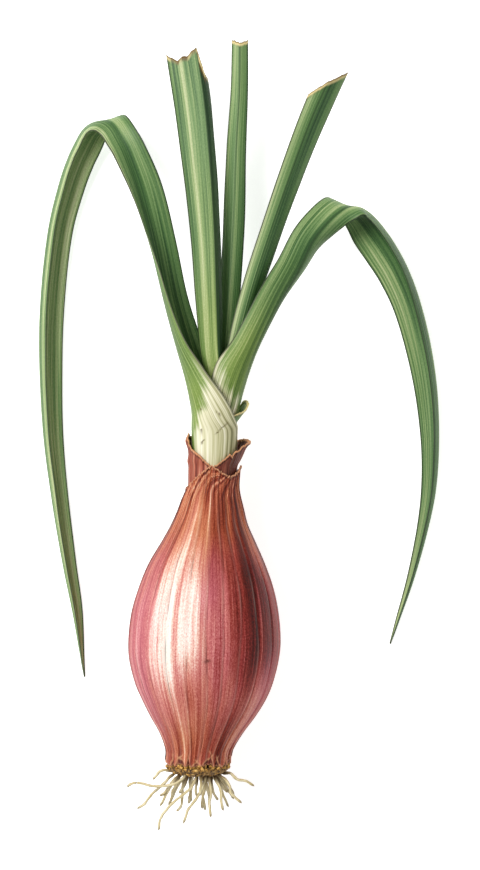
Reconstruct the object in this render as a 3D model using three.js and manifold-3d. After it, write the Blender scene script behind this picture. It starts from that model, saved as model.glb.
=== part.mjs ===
// A long shallot as picked, lying on its side: the ribbed bulb in its papery skins, its basal plate with the
// roots, and five green leaves. Two leaves fold over and hang down, three are cut short.
//
// Millimetres. +Z is up. +Y runs from the roots to the leaves, +X to the side. The origin is on the small
// flat spot under the belly that the bulb rests on.

import * as THREE from 'three';
import { mergeVertices } from 'three/addons/utils/BufferGeometryUtils.js';
import Module from 'manifold-3d';

const wasm = await Module();
wasm.setup();

// ---------------------------------------------------------------- driving dimensions

const BELLY_Y = -4;            // where the bulb is widest
const BELLY_HEIGHT = 22.2;     // height of the bulb's axis there: 0.8 less than its radius, for a flat spot
const AXIS_DROP = 0.047;       // the axis sinks by this much for each mm towards the leaves

const RING_SIDES = 60;         // sides of the bulb
const BULB_ROWS = 19;
const RIB_DEPTH = 0.32;        // grooves between the bulb's ribs
const FULL_RIB_RADIUS = 15;    // where the bulb is narrower than this, the grooves are shallower
const FIRST_GROOVE = 49;       // ring side of one groove, and then the sides from each groove to the next
const RIB_GAPS = [3, 3, 3, 2, 3, 2, 3, 3, 2, 3, 3, 3, 3, 2, 3, 3, 3, 2, 3, 3, 3, 2];
const SKIN_WALL = 0.65;        // outer skin at the mouth of the neck
const MOUTH_Y = 41;            // from here up the outer skin is a thin wall that leans out to its torn rim
const RIM_BEVEL = 0.1;
const SOCKET_FLOOR_Y = 36;     // the leaf sheaths stand in a socket that ends here
const SOCKET_FLOOR_RADIUS = 7.2;
const SKIN_SIDES = 40;         // sides of the thinner skins and sheaths
const BASE_EDGE_Y = -40.7;     // the outer skin's scalloped lower edge
const BASE_DROOP = 0.35;       // it reaches this much further down on top, and as much less underneath
const RECESS_FLOOR_Y = -39.6;  // the basal plate sits in a shallow recess
const RECESS_RADIUS = 8.2;
const RECESS_MOUTH_RADIUS = 9.2;

const LEAF_THICKNESS = 0.6;
const HANGING_MESH = { rows: 56, half: 5 };   // rows along a hanging leaf, and columns beside its keel
const CUT_MESH = { rows: 18, half: 3 };
const CREASE_SHARPNESS = 9;    // how closely the turn of a creased leaf keeps to its keel

const PLATE_X = -2.0;          // middle of the basal plate
const PLATE_SIDES = 30;
const KNOBS = 22;              // corky knobs round the basal plate
const KNOB_RING_RADIUS = 8.5;
const KNOB_RING_Y = -42.7;
const KNOB_RADIUS = 0.75;      // the smallest; the largest is this and the spread
const KNOB_SPREAD = 0.35;
const ROOT_SIDES = 5;
const ROOT_STEP = 2.2;         // spacing of the rings along a root
const ROOT_RADIUS = 0.46;
const ROOT_TIP_RADIUS = 0.38;
const ROOT_HEART_Y = -42.4;    // the roots start sunk in the plate at this depth
const HIDDEN_ROOTS = 9;        // roots on the underside, fanned out between these angles from the top
const HIDDEN_FROM = 105;
const HIDDEN_TO = 255;
const ROOT_CROWN_Y = -43.9;    // they leave the plate's dome here

// Bulb, from the base to the neck: [y, radius, x of its axis]
const BULB = [
  [-43.0, 9.7, -2.0], [-39.1, 10.0, -1.9], [-36.4, 10.35, -1.65], [-31.6, 12.75, -1.05],
  [-26.8, 15.9, -0.6], [-22.0, 18.6, -0.3], [-17.2, 20.7, -0.3], [-10.0, 22.55, -0.3],
  [BELLY_Y, 23.0, -0.15], [4.4, 22.2, 0.0], [11.6, 20.4, 0.3], [18.8, 17.7, 0.5], [26.0, 14.0, 1.05],
  [30.8, 11.6, 1.35], [35.6, 9.9, 1.8], [41.0, 8.4, 2.1], [45.8, 7.95, 2.55], [50.0, 7.9, 2.8],
];
// Torn upper edge of the outer skin, with a pointed tongue on top: [degrees round from the top towards +X, y]
const OUTER_RIM = [
  [-90, 41.2], [-72, 42.0], [-48, 43.8], [-28, 46.0], [-4, 48.5], [16, 46.5], [38, 45.0], [63, 46.3],
  [90, 48.4], [112, 47.0], [140, 44.6], [165, 46.6], [190, 45.2], [215, 43.2], [240, 42.4],
];
// How far that edge stands off the neck
const OUTER_LEAN = [
  [-90, 0.1], [-48, 0.2], [-4, 0.9], [38, 0.4], [63, 0.2], [90, 0.3], [140, 0.1], [200, 0.1],
];
// Scallops of the lower edge: how far up and down, and how many
const SCALLOP = 0.55;
const SCALLOPS = 13;

// The second skin: [y, radius at mid-thickness, x of its axis], its torn rim, and how its flaps lean out
const INNER_SKIN = [
  [39.0, 6.55, 2.3], [45.8, 6.65, 2.5], [48.4, 6.75, 2.6], [50.0, 7.3, 2.75], [52.0, 7.65, 2.85],
  [58.5, 8.0, 2.9],
];
const INNER_RIM = [
  [-150, 52.2], [-137, 54.6], [-124, 56.6], [-110, 57.5], [-96, 58.0], [-86, 57.6], [-73, 55.4],
  [-61, 53.4], [-36, 51.6], [-20, 49.6], [-4, 48.0], [8, 48.6], [29, 50.8], [37, 51.9], [42, 51.0],
  [52, 52.6], [60, 53.1], [72, 54.3], [84, 55.0], [93, 55.7], [104, 56.3], [118, 56.2], [131, 55.8],
  [143, 54.2], [156, 51.6], [180, 51.2], [198, 50.8],
];
const INNER_LEAN = [
  [-125, 0.1], [-96, 0.3], [-50, 0], [30, 0], [60, 0.5], [78, 1.7], [90, 2.6], [103, 1.9], [120, 0.8],
  [140, 0.2], [170, 0], [200, 0],
];
const INNER_THICKNESS = 0.6;

// The short green sheath whose blade has gone
const FLAP = [
  [53.5, 5.4, 2.8], [57.0, 5.45, 3.0], [59.6, 5.45, 3.3], [61.0, 5.45, 3.65], [62.6, 5.55, 4.6],
  [65.0, 5.75, 5.9], [69.0, 5.9, 6.5],
];
const FLAP_RIM = [
  [-120, 57.6], [-60, 58.0], [-20, 59.4], [20, 61.8], [42, 63.4], [65, 64.5], [78, 65.4], [90, 66.8],
  [100, 67.7], [112, 68.0], [123, 67.6], [133, 66.2], [148, 63.2], [165, 60.6], [200, 58.4],
];
const FLAP_LEAN = [
  [-90, 0], [40, 0], [80, 0.5], [92, 0.7], [104, 0.5], [140, 0], [220, 0],
];
const FLAP_THICKNESS = 0.6;
const FLAP_HEIGHT = 19.9;      // height of the sheaths' axis at the neck

// A leaf is a spine along its keel, given from the base up. Each station is
//   x, y, z,   the way its channel faces,   left width, left turn,   right width, right turn,   crease
// Left and right are as seen from the base with the channel up. The turn is how far that side curls up out of
// flat from keel to rim, in degrees. Crease is 0 for an even curl and near 1 for a sharp fold at the keel.
const LEAF_LEFT = [
  [-3.2, 37.0, 20.25, 1, 0, 0, 17.0, 174, 17.0, 174, 0],
  [-3.2, 45.0, 19.9, 1, 0, 0, 17.6, 174, 17.6, 174, 0],
  [-3.35, 48.2, 19.8, 1, 0, 0, 18.3, 174, 18.3, 174, 0],
  [-3.6, 52.5, 19.8, 1, 0, 0, 19.8, 174, 19.4, 170, 0],
  [-3.9, 59.0, 19.8, 1, 0.02, 0, 20.6, 170, 17.6, 145, 0],
  [-3.9, 64.1, 20.0, 1, 0.05, 0.02, 16.8, 128, 16.6, 128, 0],
  [-4.6, 68.6, 20.1, 1, 0.12, 0.05, 13.8, 104, 14.0, 104, 0.05],
  [-5.9, 74.6, 19.6, 1, 0.22, 0.12, 10.6, 88, 11.6, 92, 0.1],
  [-8.5, 84.3, 18.6, 0.95, 0.3, 0.32, 8.6, 68, 9.4, 74, 0.2],
  [-12.1, 98.2, 18.0, 0.88, 0.3, 0.44, 7.0, 58, 8.0, 62, 0.3],
  [-15.7, 115.0, 17.8, 0.72, 0.26, 0.62, 6.0, 50, 7.6, 46, 0.4],
  [-19.6, 130.7, 17.2, 0.5, 0.24, 0.83, 5.2, 38, 7.2, 34, 0.45],
  [-23.3, 141.9, 16.6, 0.26, 0.2, 0.94, 4.9, 24, 6.1, 26, 0.45],
  [-25.6, 147.0, 15.6, 0.1, 0.32, 0.94, 4.8, 8, 5.6, 24, 0.45],
  [-27.7, 150.6, 14.4, 0, 0.6, 0.8, 4.9, -8, 5.4, 14, 0.45],
  [-30.0, 152.3, 13.0, 0, 0.88, 0.46, 5.3, -26, 6.3, -6, 0.5],
  [-32.7, 152.4, 11.6, -0.12, 0.98, 0.1, 5.4, -36, 7.4, -36, 0.55],
  [-35.3, 151.5, 10.2, -0.45, 0.88, 0, 5.3, -35, 8.3, -62, 0.6],
  [-37.5, 149.6, 9.0, -0.72, 0.68, 0, 5.2, -34, 8.8, -80, 0.6],
  [-39.5, 146.3, 7.8, -0.86, 0.5, 0, 5.1, -34, 9.0, -91, 0.6],
  [-41.8, 141.6, 6.8, -0.9, 0.42, 0, 5.0, -35, 8.9, -96, 0.6],
  [-44.5, 133.9, 5.8, -0.95, 0.3, 0, 5.0, -36, 8.7, -97, 0.6],
  [-47.7, 120.6, 5.1, -0.98, 0.18, 0, 5.0, -36, 8.2, -97, 0.6],
  [-49.9, 102.3, 4.3, -1, 0.07, 0, 5.0, -36, 8.1, -97, 0.6],
  [-50.6, 83.4, 3.8, -1, -0.02, 0, 4.8, -36, 7.8, -97, 0.6],
  [-49.5, 59.0, 3.3, -1, -0.1, 0, 4.2, -36, 6.7, -97, 0.6],
  [-46.8, 37.7, 2.9, -0.98, -0.18, 0, 3.4, -36, 5.6, -97, 0.6],
  [-43.5, 18.1, 2.5, -0.98, -0.18, 0, 2.6, -36, 4.5, -97, 0.6],
  [-40.3, 2.2, 2.0, -0.98, -0.2, 0, 1.8, -36, 3.3, -96, 0.5],
  [-37.1, -16.5, 1.2, -0.98, -0.15, 0, 0.5, -24, 0.5, -70, 0.3],
];
const LEAF_RIGHT = [
  [6.8, 39.0, 20.15, -1, 0, 0, 13.3, 174, 13.3, 174, 0],
  [6.9, 47.0, 19.85, -1, 0, 0, 13.3, 174, 13.3, 174, 0],
  [7.3, 54.2, 19.7, -1, 0, 0, 13.6, 174, 13.6, 174, 0],
  [8.1, 60.2, 19.8, -1, 0, 0, 13.8, 172, 13.8, 172, 0],
  [9.9, 65.0, 20.0, -1, 0.03, 0, 13.6, 166, 13.6, 168, 0],
  [11.3, 70.1, 20.2, -1, 0.1, 0, 13.0, 144, 13.6, 150, 0.05],
  [13.0, 75.8, 20.2, -0.98, 0.2, 0, 11.4, 108, 13.2, 128, 0.1],
  [15.4, 82.4, 20.0, -0.93, 0.3, -0.12, 9.6, 82, 9.8, 104, 0.2],
  [18.3, 88.8, 19.6, -0.87, 0.4, -0.25, 8.6, 66, 8.6, 84, 0.3],
  [23.0, 98.1, 19.2, -0.74, 0.5, -0.45, 7.6, 54, 8.2, 60, 0.4],
  [28.1, 107.0, 18.6, -0.55, 0.42, -0.72, 6.7, 54, 7.4, 44, 0.45],
  [32.3, 115.6, 17.9, -0.4, 0.2, -0.88, 5.6, 52, 6.9, 34, 0.45],
  [36.9, 121.4, 17.1, -0.3, -0.15, -0.93, 4.9, 46, 6.8, 26, 0.45],
  [40.7, 124.8, 16.0, -0.2, -0.5, -0.84, 4.3, 36, 7.2, 16, 0.45],
  [43.3, 126.2, 14.5, -0.1, -0.85, -0.5, 4.6, 31, 7.6, 10, 0.5],
  [45.6, 126.5, 13.0, -0.05, -1, -0.1, 5.1, 36, 8.0, 28, 0.55],
  [47.9, 125.9, 11.5, -0.4, -0.9, 0, 5.4, 33, 9.4, 56, 0.6],
  [50.8, 123.9, 10.0, -0.65, -0.76, 0, 5.4, 29, 10.6, 74, 0.6],
  [53.9, 120.5, 8.7, -0.78, -0.63, 0, 5.3, 28, 11.3, 87, 0.6],
  [57.6, 115.3, 7.5, -0.85, -0.52, 0, 5.2, 29, 11.2, 94, 0.6],
  [61.6, 107.9, 6.4, -0.9, -0.42, 0, 5.1, 31, 10.4, 97, 0.6],
  [65.2, 98.3, 5.4, -0.94, -0.3, 0, 5.0, 34, 9.4, 97, 0.6],
  [68.4, 85.5, 4.6, -0.97, -0.2, 0, 4.8, 36, 8.6, 97, 0.6],
  [70.5, 71.2, 3.9, -1, -0.1, 0, 4.4, 36, 7.5, 97, 0.6],
  [71.1, 56.0, 3.4, -1, 0.02, 0, 3.8, 36, 6.1, 97, 0.6],
  [70.3, 41.9, 3.0, -1, 0.1, 0, 3.2, 36, 5.0, 97, 0.6],
  [68.0, 29.7, 2.5, -0.97, 0.2, 0, 2.5, 36, 3.8, 97, 0.6],
  [63.8, 14.4, 1.9, -0.95, 0.28, 0, 1.7, 36, 2.5, 96, 0.5],
  [59.1, 0.9, 1.3, -0.93, 0.34, 0, 1.0, 24, 1.4, 76, 0.4],
  [56.5, -6.4, 0.8, -0.93, 0.35, 0, 0.5, 24, 0.5, 70, 0.3],
];
const LEAF_CUT_WIDE = [
  [3.3, 58.0, 22.4, 0.05, 0, -1, 1.6, 60, 2.2, 64, 0.15],
  [4.3, 64.4, 22.6, 0.08, 0, -1, 1.5, 66, 2.3, 64, 0.2],
  [4.6, 70.0, 23.0, 0.1, 0, -1, 1.4, 76, 2.8, 58, 0.35],
  [4.6, 73.6, 23.3, 0.1, 0, -1, 1.4, 80, 4.3, 46, 0.4],
  [4.35, 77.4, 23.3, 0.12, 0, -1, 1.7, 84, 5.45, 34, 0.5],
  [3.8, 84.4, 23.6, 0.12, 0, -1, 2.8, 88, 6.0, 22, 0.6],
  [3.3, 100.9, 24.2, 0.12, 0, -1, 3.7, 92, 6.7, 16, 0.6],
  [2.7, 118.9, 24.2, 0.12, 0, -1, 4.1, 92, 7.5, 12, 0.6],
  [1.4, 139.8, 24.0, 0.12, 0, -1, 4.2, 92, 8.7, 12, 0.6],
  [-0.3, 157.9, 23.6, 0.12, 0, -1, 4.3, 92, 9.5, 12, 0.6],
  [-2.6, 173.7, 23.0, 0.12, 0, -1, 4.3, 92, 9.6, 12, 0.6],
];
const LEAF_CUT_MID = [
  [3.2, 58.0, 18.2, 0.1, 0, -1, 1.9, 46, 1.9, 46, 0.3],
  [5.0, 64.4, 18.4, 0.1, 0, -1, 2.1, 46, 2.1, 46, 0.3],
  [6.1, 71.0, 18.5, 0.1, 0, -1, 2.5, 44, 2.1, 46, 0.4],
  [6.2, 84.6, 18.2, 0.1, 0, -1, 3.2, 36, 3.3, 38, 0.5],
  [7.5, 102.7, 17.8, 0.1, 0, -1, 3.5, 34, 3.6, 34, 0.55],
  [8.5, 120.8, 17.4, 0.1, 0, -1, 3.6, 32, 3.6, 34, 0.55],
  [9.3, 143.4, 17.0, 0.1, 0, -1, 3.2, 32, 3.3, 32, 0.55],
  [10.3, 161.5, 16.4, 0.05, 0, -1, 2.8, 30, 2.9, 30, 0.55],
  [10.5, 176.8, 16.0, 0, 0, -1, 2.6, 28, 2.6, 28, 0.55],
];
const LEAF_CUT_SLANT = [
  [5.6, 58.0, 20.2, -0.9, 0, -0.44, 1.3, 48, 1.3, 52, 0.3],
  [7.4, 64.4, 20.5, -0.85, 0, -0.53, 1.6, 46, 1.6, 50, 0.35],
  [8.0, 70.4, 20.7, -0.75, 0, -0.66, 2.2, 44, 2.0, 48, 0.4],
  [8.7, 77.6, 20.9, -0.6, 0, -0.8, 3.0, 38, 2.9, 40, 0.5],
  [11.0, 89.0, 21.0, -0.45, 0, -0.89, 3.7, 36, 3.3, 34, 0.5],
  [15.0, 104.0, 21.0, -0.4, 0, -0.91, 4.2, 32, 3.3, 30, 0.5],
  [20.4, 120.6, 20.8, -0.4, 0, -0.91, 4.6, 28, 3.3, 26, 0.5],
  [26.1, 137.1, 20.4, -0.4, 0, -0.91, 5.0, 26, 3.5, 22, 0.5],
  [32.0, 152.8, 19.8, -0.4, 0, -0.91, 5.5, 24, 3.7, 20, 0.5],
  [39.4, 169.2, 19.1, -0.4, 0, -0.91, 5.8, 24, 4.2, 20, 0.5],
];
// Where each cut runs: [place across, from -1 at the left rim to 1 at the right rim, share of the spine]
const CUT_WIDE_END = [
  [-1, 0.934], [-0.6, 0.942], [-0.3, 0.952], [-0.1, 0.982], [0, 1], [0.2, 0.9936], [0.35, 0.985],
  [0.5, 0.988], [0.65, 0.982], [0.89, 0.99], [1, 0.9975],
];
const CUT_MID_END = [
  [-1, 1], [-0.5, 0.9955], [0, 0.992], [0.5, 0.9965], [1, 1],
];
const CUT_SLANT_END = [
  [-1, 0.999], [0, 0.963], [1, 0.927],
];

// Section of the basal plate: [radius, y] from its hidden middle in the recess, out to the corky rim and back to
// the domed underside
const PLATE = [
  [0, -39.95], [7.6, -39.95], [7.7, -41.3], [9.0, -41.8], [9.1, -42.5], [7.4, -43.7], [3.5, -44.4], [0, -44.5],
];

// Roots on the upper side and the flanks, from the plate outwards: [x, y, height over the plate's centre]
const ROOTS = [
  [[-8.2, -43.1, 1], [-10.3, -42.9, 2], [-12.2, -42.6, 2.4], [-13.7, -43.2, 2], [-14.7, -44.6, 1.4],
   [-15.4, -45.6, 1]],
  [[-5.5, -43.2, 5], [-6.3, -44.5, 6.5], [-8.1, -45.8, 7.6], [-10.5, -46.6, 8.2], [-13.3, -46.9, 8],
   [-16.1, -46.8, 7.4], [-18.4, -46.2, 7], [-20.5, -46, 6.6], [-22.1, -46.5, 6.2], [-23.1, -47.3, 6]],
  [[-9, -43.6, 2], [-10.8, -44.9, 3.4], [-12, -46.3, 4], [-13.9, -48, 4.2], [-15.9, -49.7, 3.6],
   [-17.2, -51.6, 2.8], [-18.4, -53.1, 2], [-20.2, -54.2, 1.4]],
  [[-7.4, -43.7, 3], [-9, -45.5, 5], [-10.6, -47.2, 5.6], [-11.6, -48.6, 6], [-12.3, -49.3, 6.4],
   [-13.4, -49.9, 6.8]],
  [[-7.5, -44.4, 0], [-8.5, -47, 0.4], [-9.5, -48.9, 0], [-9.9, -50.7, -0.6], [-10.4, -52.7, -1]],
  [[-2.3, -43.8, 5], [-3.2, -46, 7.4], [-4.5, -47.7, 8.4], [-6.6, -49.5, 8.8], [-8.9, -51.3, 8.6],
   [-10.9, -53.4, 8], [-12.5, -55.3, 7.4], [-13.3, -57.4, 6.8], [-13.8, -60.2, 6.2]],
  [[-5.9, -45.2, -2], [-6.7, -47.8, -3.4], [-6.8, -49.8, -4.4], [-6.9, -52.6, -5], [-7.5, -54.5, -5.6],
   [-8.6, -55.8, -6]],
  [[-5.2, -44.7, 3], [-5.9, -46.9, 3.8], [-7.1, -48.4, 4.2], [-7.5, -49.4, 4.4]],
  [[-4.2, -45, -3], [-4.7, -47.5, -5], [-4.4, -49.9, -6.4], [-4.8, -52.2, -7.4], [-4.9, -53.7, -8]],
  [[0.3, -44, 4], [0, -45.7, 5.6], [-0.7, -47.4, 6], [-1.7, -49.5, 6], [-3, -51.6, 5.4],
   [-4.6, -53.6, 4.8], [-5.5, -55.6, 4.4], [-6.4, -58.4, 4]],
  [[-2.4, -45, 0], [-2.5, -47.3, 0.4], [-2.7, -48.8, 0.2], [-2.5, -50.9, -0.6]],
  [[-1, -44, 6], [-1.1, -46.2, 8.2], [-1.4, -48, 9.6], [-1.2, -49.5, 10]],
  [[-0.4, -44.9, 1], [-0.1, -47.4, 2], [-0.3, -49.6, 2], [-0.8, -51.9, 1.4], [-0.9, -54.3, 1]],
  [[0.6, -45.4, -4], [0.4, -48.1, -5.6], [0.9, -50.1, -6.8], [1.6, -51.6, -7.6]],
  [[1.2, -44.5, 4], [1.6, -47.2, 5.4], [1.8, -49.5, 6], [1.5, -51.9, 6.4], [1.5, -53.9, 6.6],
   [1.8, -56.2, 7]],
  [[1.8, -44.6, 1], [2.1, -46.8, 1.6], [2.5, -49.1, 2], [3.4, -50.9, 2], [3.9, -51.6, 2]],
  [[2.9, -44.5, 2], [3.8, -46.4, 3.4], [4.7, -48.4, 4], [4.9, -50.4, 4.2], [5, -52.5, 4.2],
   [5.6, -54.5, 4]],
  [[3.7, -45, -2], [4.8, -47.3, -2.6], [5.7, -48.7, -3], [6.9, -49.8, -3]],
  [[4.4, -44, 4], [6.3, -45.3, 5.4], [7.4, -47.1, 6], [7.8, -49, 6], [9.2, -50.6, 5.6], [10.9, -52.2, 5]],
  [[5.2, -43.6, 2], [7.3, -43.4, 3], [8.6, -44.3, 3.4], [9.9, -45.4, 3], [12.1, -45.8, 2.6],
   [13.5, -46.6, 2.2], [14.7, -47.4, 2]],
];

// ---------------------------------------------------------------- small tools

function seededRandom(seed) {
  let state = seed;
  return () => {
    state = (state * 16807) % 2147483647;
    return state / 2147483647;
  };
}

/** Smooth value of one column of a table whose first column rises. */
function smooth(table, at, column) {
  const last = table.length - 1;
  let i = 0;
  while (i < last - 1 && at > table[i + 1][0]) i += 1;
  const slope = (k) => {
    const a = table[Math.max(k - 1, 0)];
    const b = table[Math.min(k + 1, last)];
    return (b[column] - a[column]) / (b[0] - a[0]);
  };
  const [a, b] = [table[i], table[i + 1]];
  const span = b[0] - a[0];
  const t = THREE.MathUtils.clamp((at - a[0]) / span, 0, 1);
  const rise = (b[column] - a[column]) / span;
  const [sa, sb] = [slope(i), slope(i + 1)];
  const curve = (1 - t) * (sa - rise) * (1 - t) * t + t * (rise - sb) * t * (1 - t);
  return a[column] + span * (rise * t + curve);
}

/** Value of a rim table at an angle: straight between its points, and closed round the ring. */
function round(table, degrees) {
  const first = table[0][0];
  const at = first + THREE.MathUtils.euclideanModulo(degrees - first, 360);
  const closed = [...table, [first + 360, table[0][1]]];
  const i = closed.findIndex((point, k) => k > 0 && at <= point[0]) - 1;
  const [a, b] = [closed[i], closed[i + 1]];
  return THREE.MathUtils.mapLinear(at, a[0], b[0], a[1], b[1]);
}

function straight(table, at) {
  let i = 0;
  while (i < table.length - 2 && at > table[i + 1][0]) i += 1;
  return THREE.MathUtils.mapLinear(at, table[i][0], table[i + 1][0], table[i][1], table[i + 1][1]);
}

const axisHeight = (y) => BELLY_HEIGHT - AXIS_DROP * (y - BELLY_Y);

const axisPoint = (y) => new THREE.Vector3(smooth(BULB, y, 2), y, axisHeight(y));

/** A point round the axis: 0 degrees is up, 90 is +X. */
function aroundAxis(x, y, z, radius, degrees) {
  const angle = THREE.MathUtils.degToRad(degrees);
  return new THREE.Vector3(x + radius * Math.sin(angle), y, z + radius * Math.cos(angle));
}

function solidFrom(points, faces) {
  const positions = points.flatMap((p) => [p.x, p.y, p.z]);
  let volume = 0;
  for (const [a, b, c] of faces) {
    volume += points[a].dot(new THREE.Vector3().crossVectors(points[b], points[c]));
  }
  const turned = volume < 0 ? faces.map(([a, b, c]) => [a, c, b]) : faces;
  const geometry = new THREE.BufferGeometry();
  geometry.setAttribute('position', new THREE.Float32BufferAttribute(positions, 3));
  geometry.setIndex(turned.flat());
  return geometry;
}

/** Closed body through rings of equal count: capped by a point at each end, or joined end to end. */
function ringsToSolid(rings, caps) {
  const sides = rings[0].length;
  const points = rings.flat();
  const faces = [];
  const bands = caps ? rings.length - 1 : rings.length;
  for (let r = 0; r < bands; r += 1) {
    const [low, high] = [r * sides, ((r + 1) % rings.length) * sides];
    for (let i = 0; i < sides; i += 1) {
      const next = (i + 1) % sides;
      faces.push([low + i, low + next, high + next], [low + i, high + next, high + i]);
    }
  }
  if (caps) {
    const top = (rings.length - 1) * sides;
    points.push(caps[0], caps[1]);
    for (let i = 0; i < sides; i += 1) {
      const next = (i + 1) % sides;
      faces.push([next, i, points.length - 2], [top + i, top + next, points.length - 1]);
    }
  }
  return solidFrom(points, faces);
}

function toManifold(geometry) {
  const bare = geometry.clone();
  bare.deleteAttribute('normal');
  bare.deleteAttribute('uv');
  const merged = mergeVertices(bare, 1e-5);
  return new wasm.Manifold(new wasm.Mesh({
    numProp: 3,
    vertProperties: new Float32Array(merged.attributes.position.array),
    triVerts: new Uint32Array(merged.index.array),
  }));
}

function fromManifold(solid) {
  const mesh = solid.getMesh();
  const geometry = new THREE.BufferGeometry();
  geometry.setAttribute('position', new THREE.Float32BufferAttribute(mesh.vertProperties, 3));
  geometry.setIndex(new THREE.Uint32BufferAttribute(mesh.triVerts, 1));
  return geometry;
}

// ---------------------------------------------------------------- bulb and skins

const ringAngles = Array.from({ length: RING_SIDES }, (_, i) => (i * 360) / RING_SIDES);

/** Depth of the groove at each side of the ring: deepest between two ribs. */
function ribReliefs() {
  const relief = new Array(RING_SIDES).fill(0);
  let at = FIRST_GROOVE;
  for (const gap of RIB_GAPS) {
    relief[at % RING_SIDES] = -RIB_DEPTH;
    at += gap;
  }
  return relief;
}

const turnCos = (degrees) => Math.cos(THREE.MathUtils.degToRad(degrees));

const baseEdge = (degrees) => BASE_EDGE_Y
  - BASE_DROOP * turnCos(degrees)
  + SCALLOP * turnCos(degrees * SCALLOPS);

/** The outer skin leans out more and more from the mouth up to its torn rim. */
function outerLean(degrees, y) {
  const share = THREE.MathUtils.clamp((y - MOUTH_Y) / (round(OUTER_RIM, degrees) - MOUTH_Y), 0, 1);
  return round(OUTER_LEAN, degrees) * share ** 2;
}

function bulb() {
  const reliefs = ribReliefs();
  const ringAt = (yOf, radiusOf) => ringAngles.map((degrees, i) => {
    const y = yOf(degrees);
    return aroundAxis(smooth(BULB, y, 2), y, axisHeight(y), radiusOf(y, degrees, i), degrees);
  });
  const ribbed = (y, degrees, i) => smooth(BULB, y, 1) + outerLean(degrees, y)
    + reliefs[i] * Math.min(1, smooth(BULB, y, 1) / FULL_RIB_RADIUS);
  const lining = (y, degrees) => smooth(BULB, y, 1) + outerLean(degrees, y) - SKIN_WALL;
  const outside = Array.from({ length: BULB_ROWS + 1 }, (_, row) => {
    const share = row / BULB_ROWS;
    const even = share - 0.06 * Math.sin(2 * Math.PI * share);   // closer rows at both ends
    const yAt = (degrees) => THREE.MathUtils.lerp(baseEdge(degrees), round(OUTER_RIM, degrees), even);
    return ringAt(yAt, ribbed);
  });

  const whole = ringsToSolid([
    ringAt(() => RECESS_FLOOR_Y, () => RECESS_RADIUS),
    ringAt(baseEdge, () => RECESS_MOUTH_RADIUS),
    ...outside,
    ringAt((degrees) => round(OUTER_RIM, degrees) - RIM_BEVEL, lining),
    ringAt(() => MOUTH_Y, lining),
    ringAt(() => SOCKET_FLOOR_Y, () => SOCKET_FLOOR_RADIUS),
  ], [axisPoint(RECESS_FLOOR_Y), axisPoint(SOCKET_FLOOR_Y)]);

  const below = new THREE.BoxGeometry(4 * BELLY_HEIGHT, 8 * BELLY_HEIGHT, BELLY_HEIGHT);
  below.translate(0, 0, -BELLY_HEIGHT / 2);
  return fromManifold(toManifold(whole).subtract(toManifold(below)));
}

/** A thin sheath round the neck with a torn rim, standing open at both ends. */
function sheathRing({ levels, rim, lean, thickness, height, rows }) {
  const bottom = levels[0][0];
  const angles = Array.from({ length: SKIN_SIDES }, (_, i) => (i * 360) / SKIN_SIDES);
  const wall = (offset, order) => order.map((row) => angles.map((degrees) => {
    const share = row / rows;
    const y = THREE.MathUtils.lerp(bottom, round(rim, degrees), share);
    const radius = smooth(levels, y, 1) + offset + round(lean, degrees) * share ** 4;
    return aroundAxis(smooth(levels, y, 2), y, height(y), radius, degrees);
  }));
  const up = Array.from({ length: rows + 1 }, (_, row) => row);
  return ringsToSolid([...wall(thickness / 2, up), ...wall(-thickness / 2, [...up].reverse())], null);
}

const innerSkin = () => sheathRing({
  levels: INNER_SKIN,
  rim: INNER_RIM,
  lean: INNER_LEAN,
  thickness: INNER_THICKNESS,
  height: axisHeight,
  rows: 5,
});

const sheathFlap = () => sheathRing({
  levels: FLAP,
  rim: FLAP_RIM,
  lean: FLAP_LEAN,
  thickness: FLAP_THICKNESS,
  height: () => FLAP_HEIGHT,
  rows: 4,
});

// ---------------------------------------------------------------- leaves

/** Outline of one side of a leaf's section from the keel: [across, up, tilt] at each column. */
function sideProfile(width, turnDegrees, crease, half) {
  const turn = THREE.MathUtils.degToRad(turnDegrees);
  const steps = 12;
  const tilt = (u) => turn * ((1 - crease) * u
    + (crease * (1 - Math.exp(-CREASE_SHARPNESS * u))) / (1 - Math.exp(-CREASE_SHARPNESS)));
  const profile = [[0, 0, 0]];
  let [across, up, from] = [0, 0, 0];
  for (let column = 1; column <= half; column += 1) {
    const to = column / half;
    for (let step = 0; step < steps; step += 1) {
      const u = from + ((to - from) * (step + 0.5)) / steps;
      across += (Math.cos(tilt(u)) * (to - from) * width) / steps;
      up += (Math.sin(tilt(u)) * (to - from) * width) / steps;
    }
    profile.push([across, up, tilt(to)]);
    from = to;
  }
  return profile;
}

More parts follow.
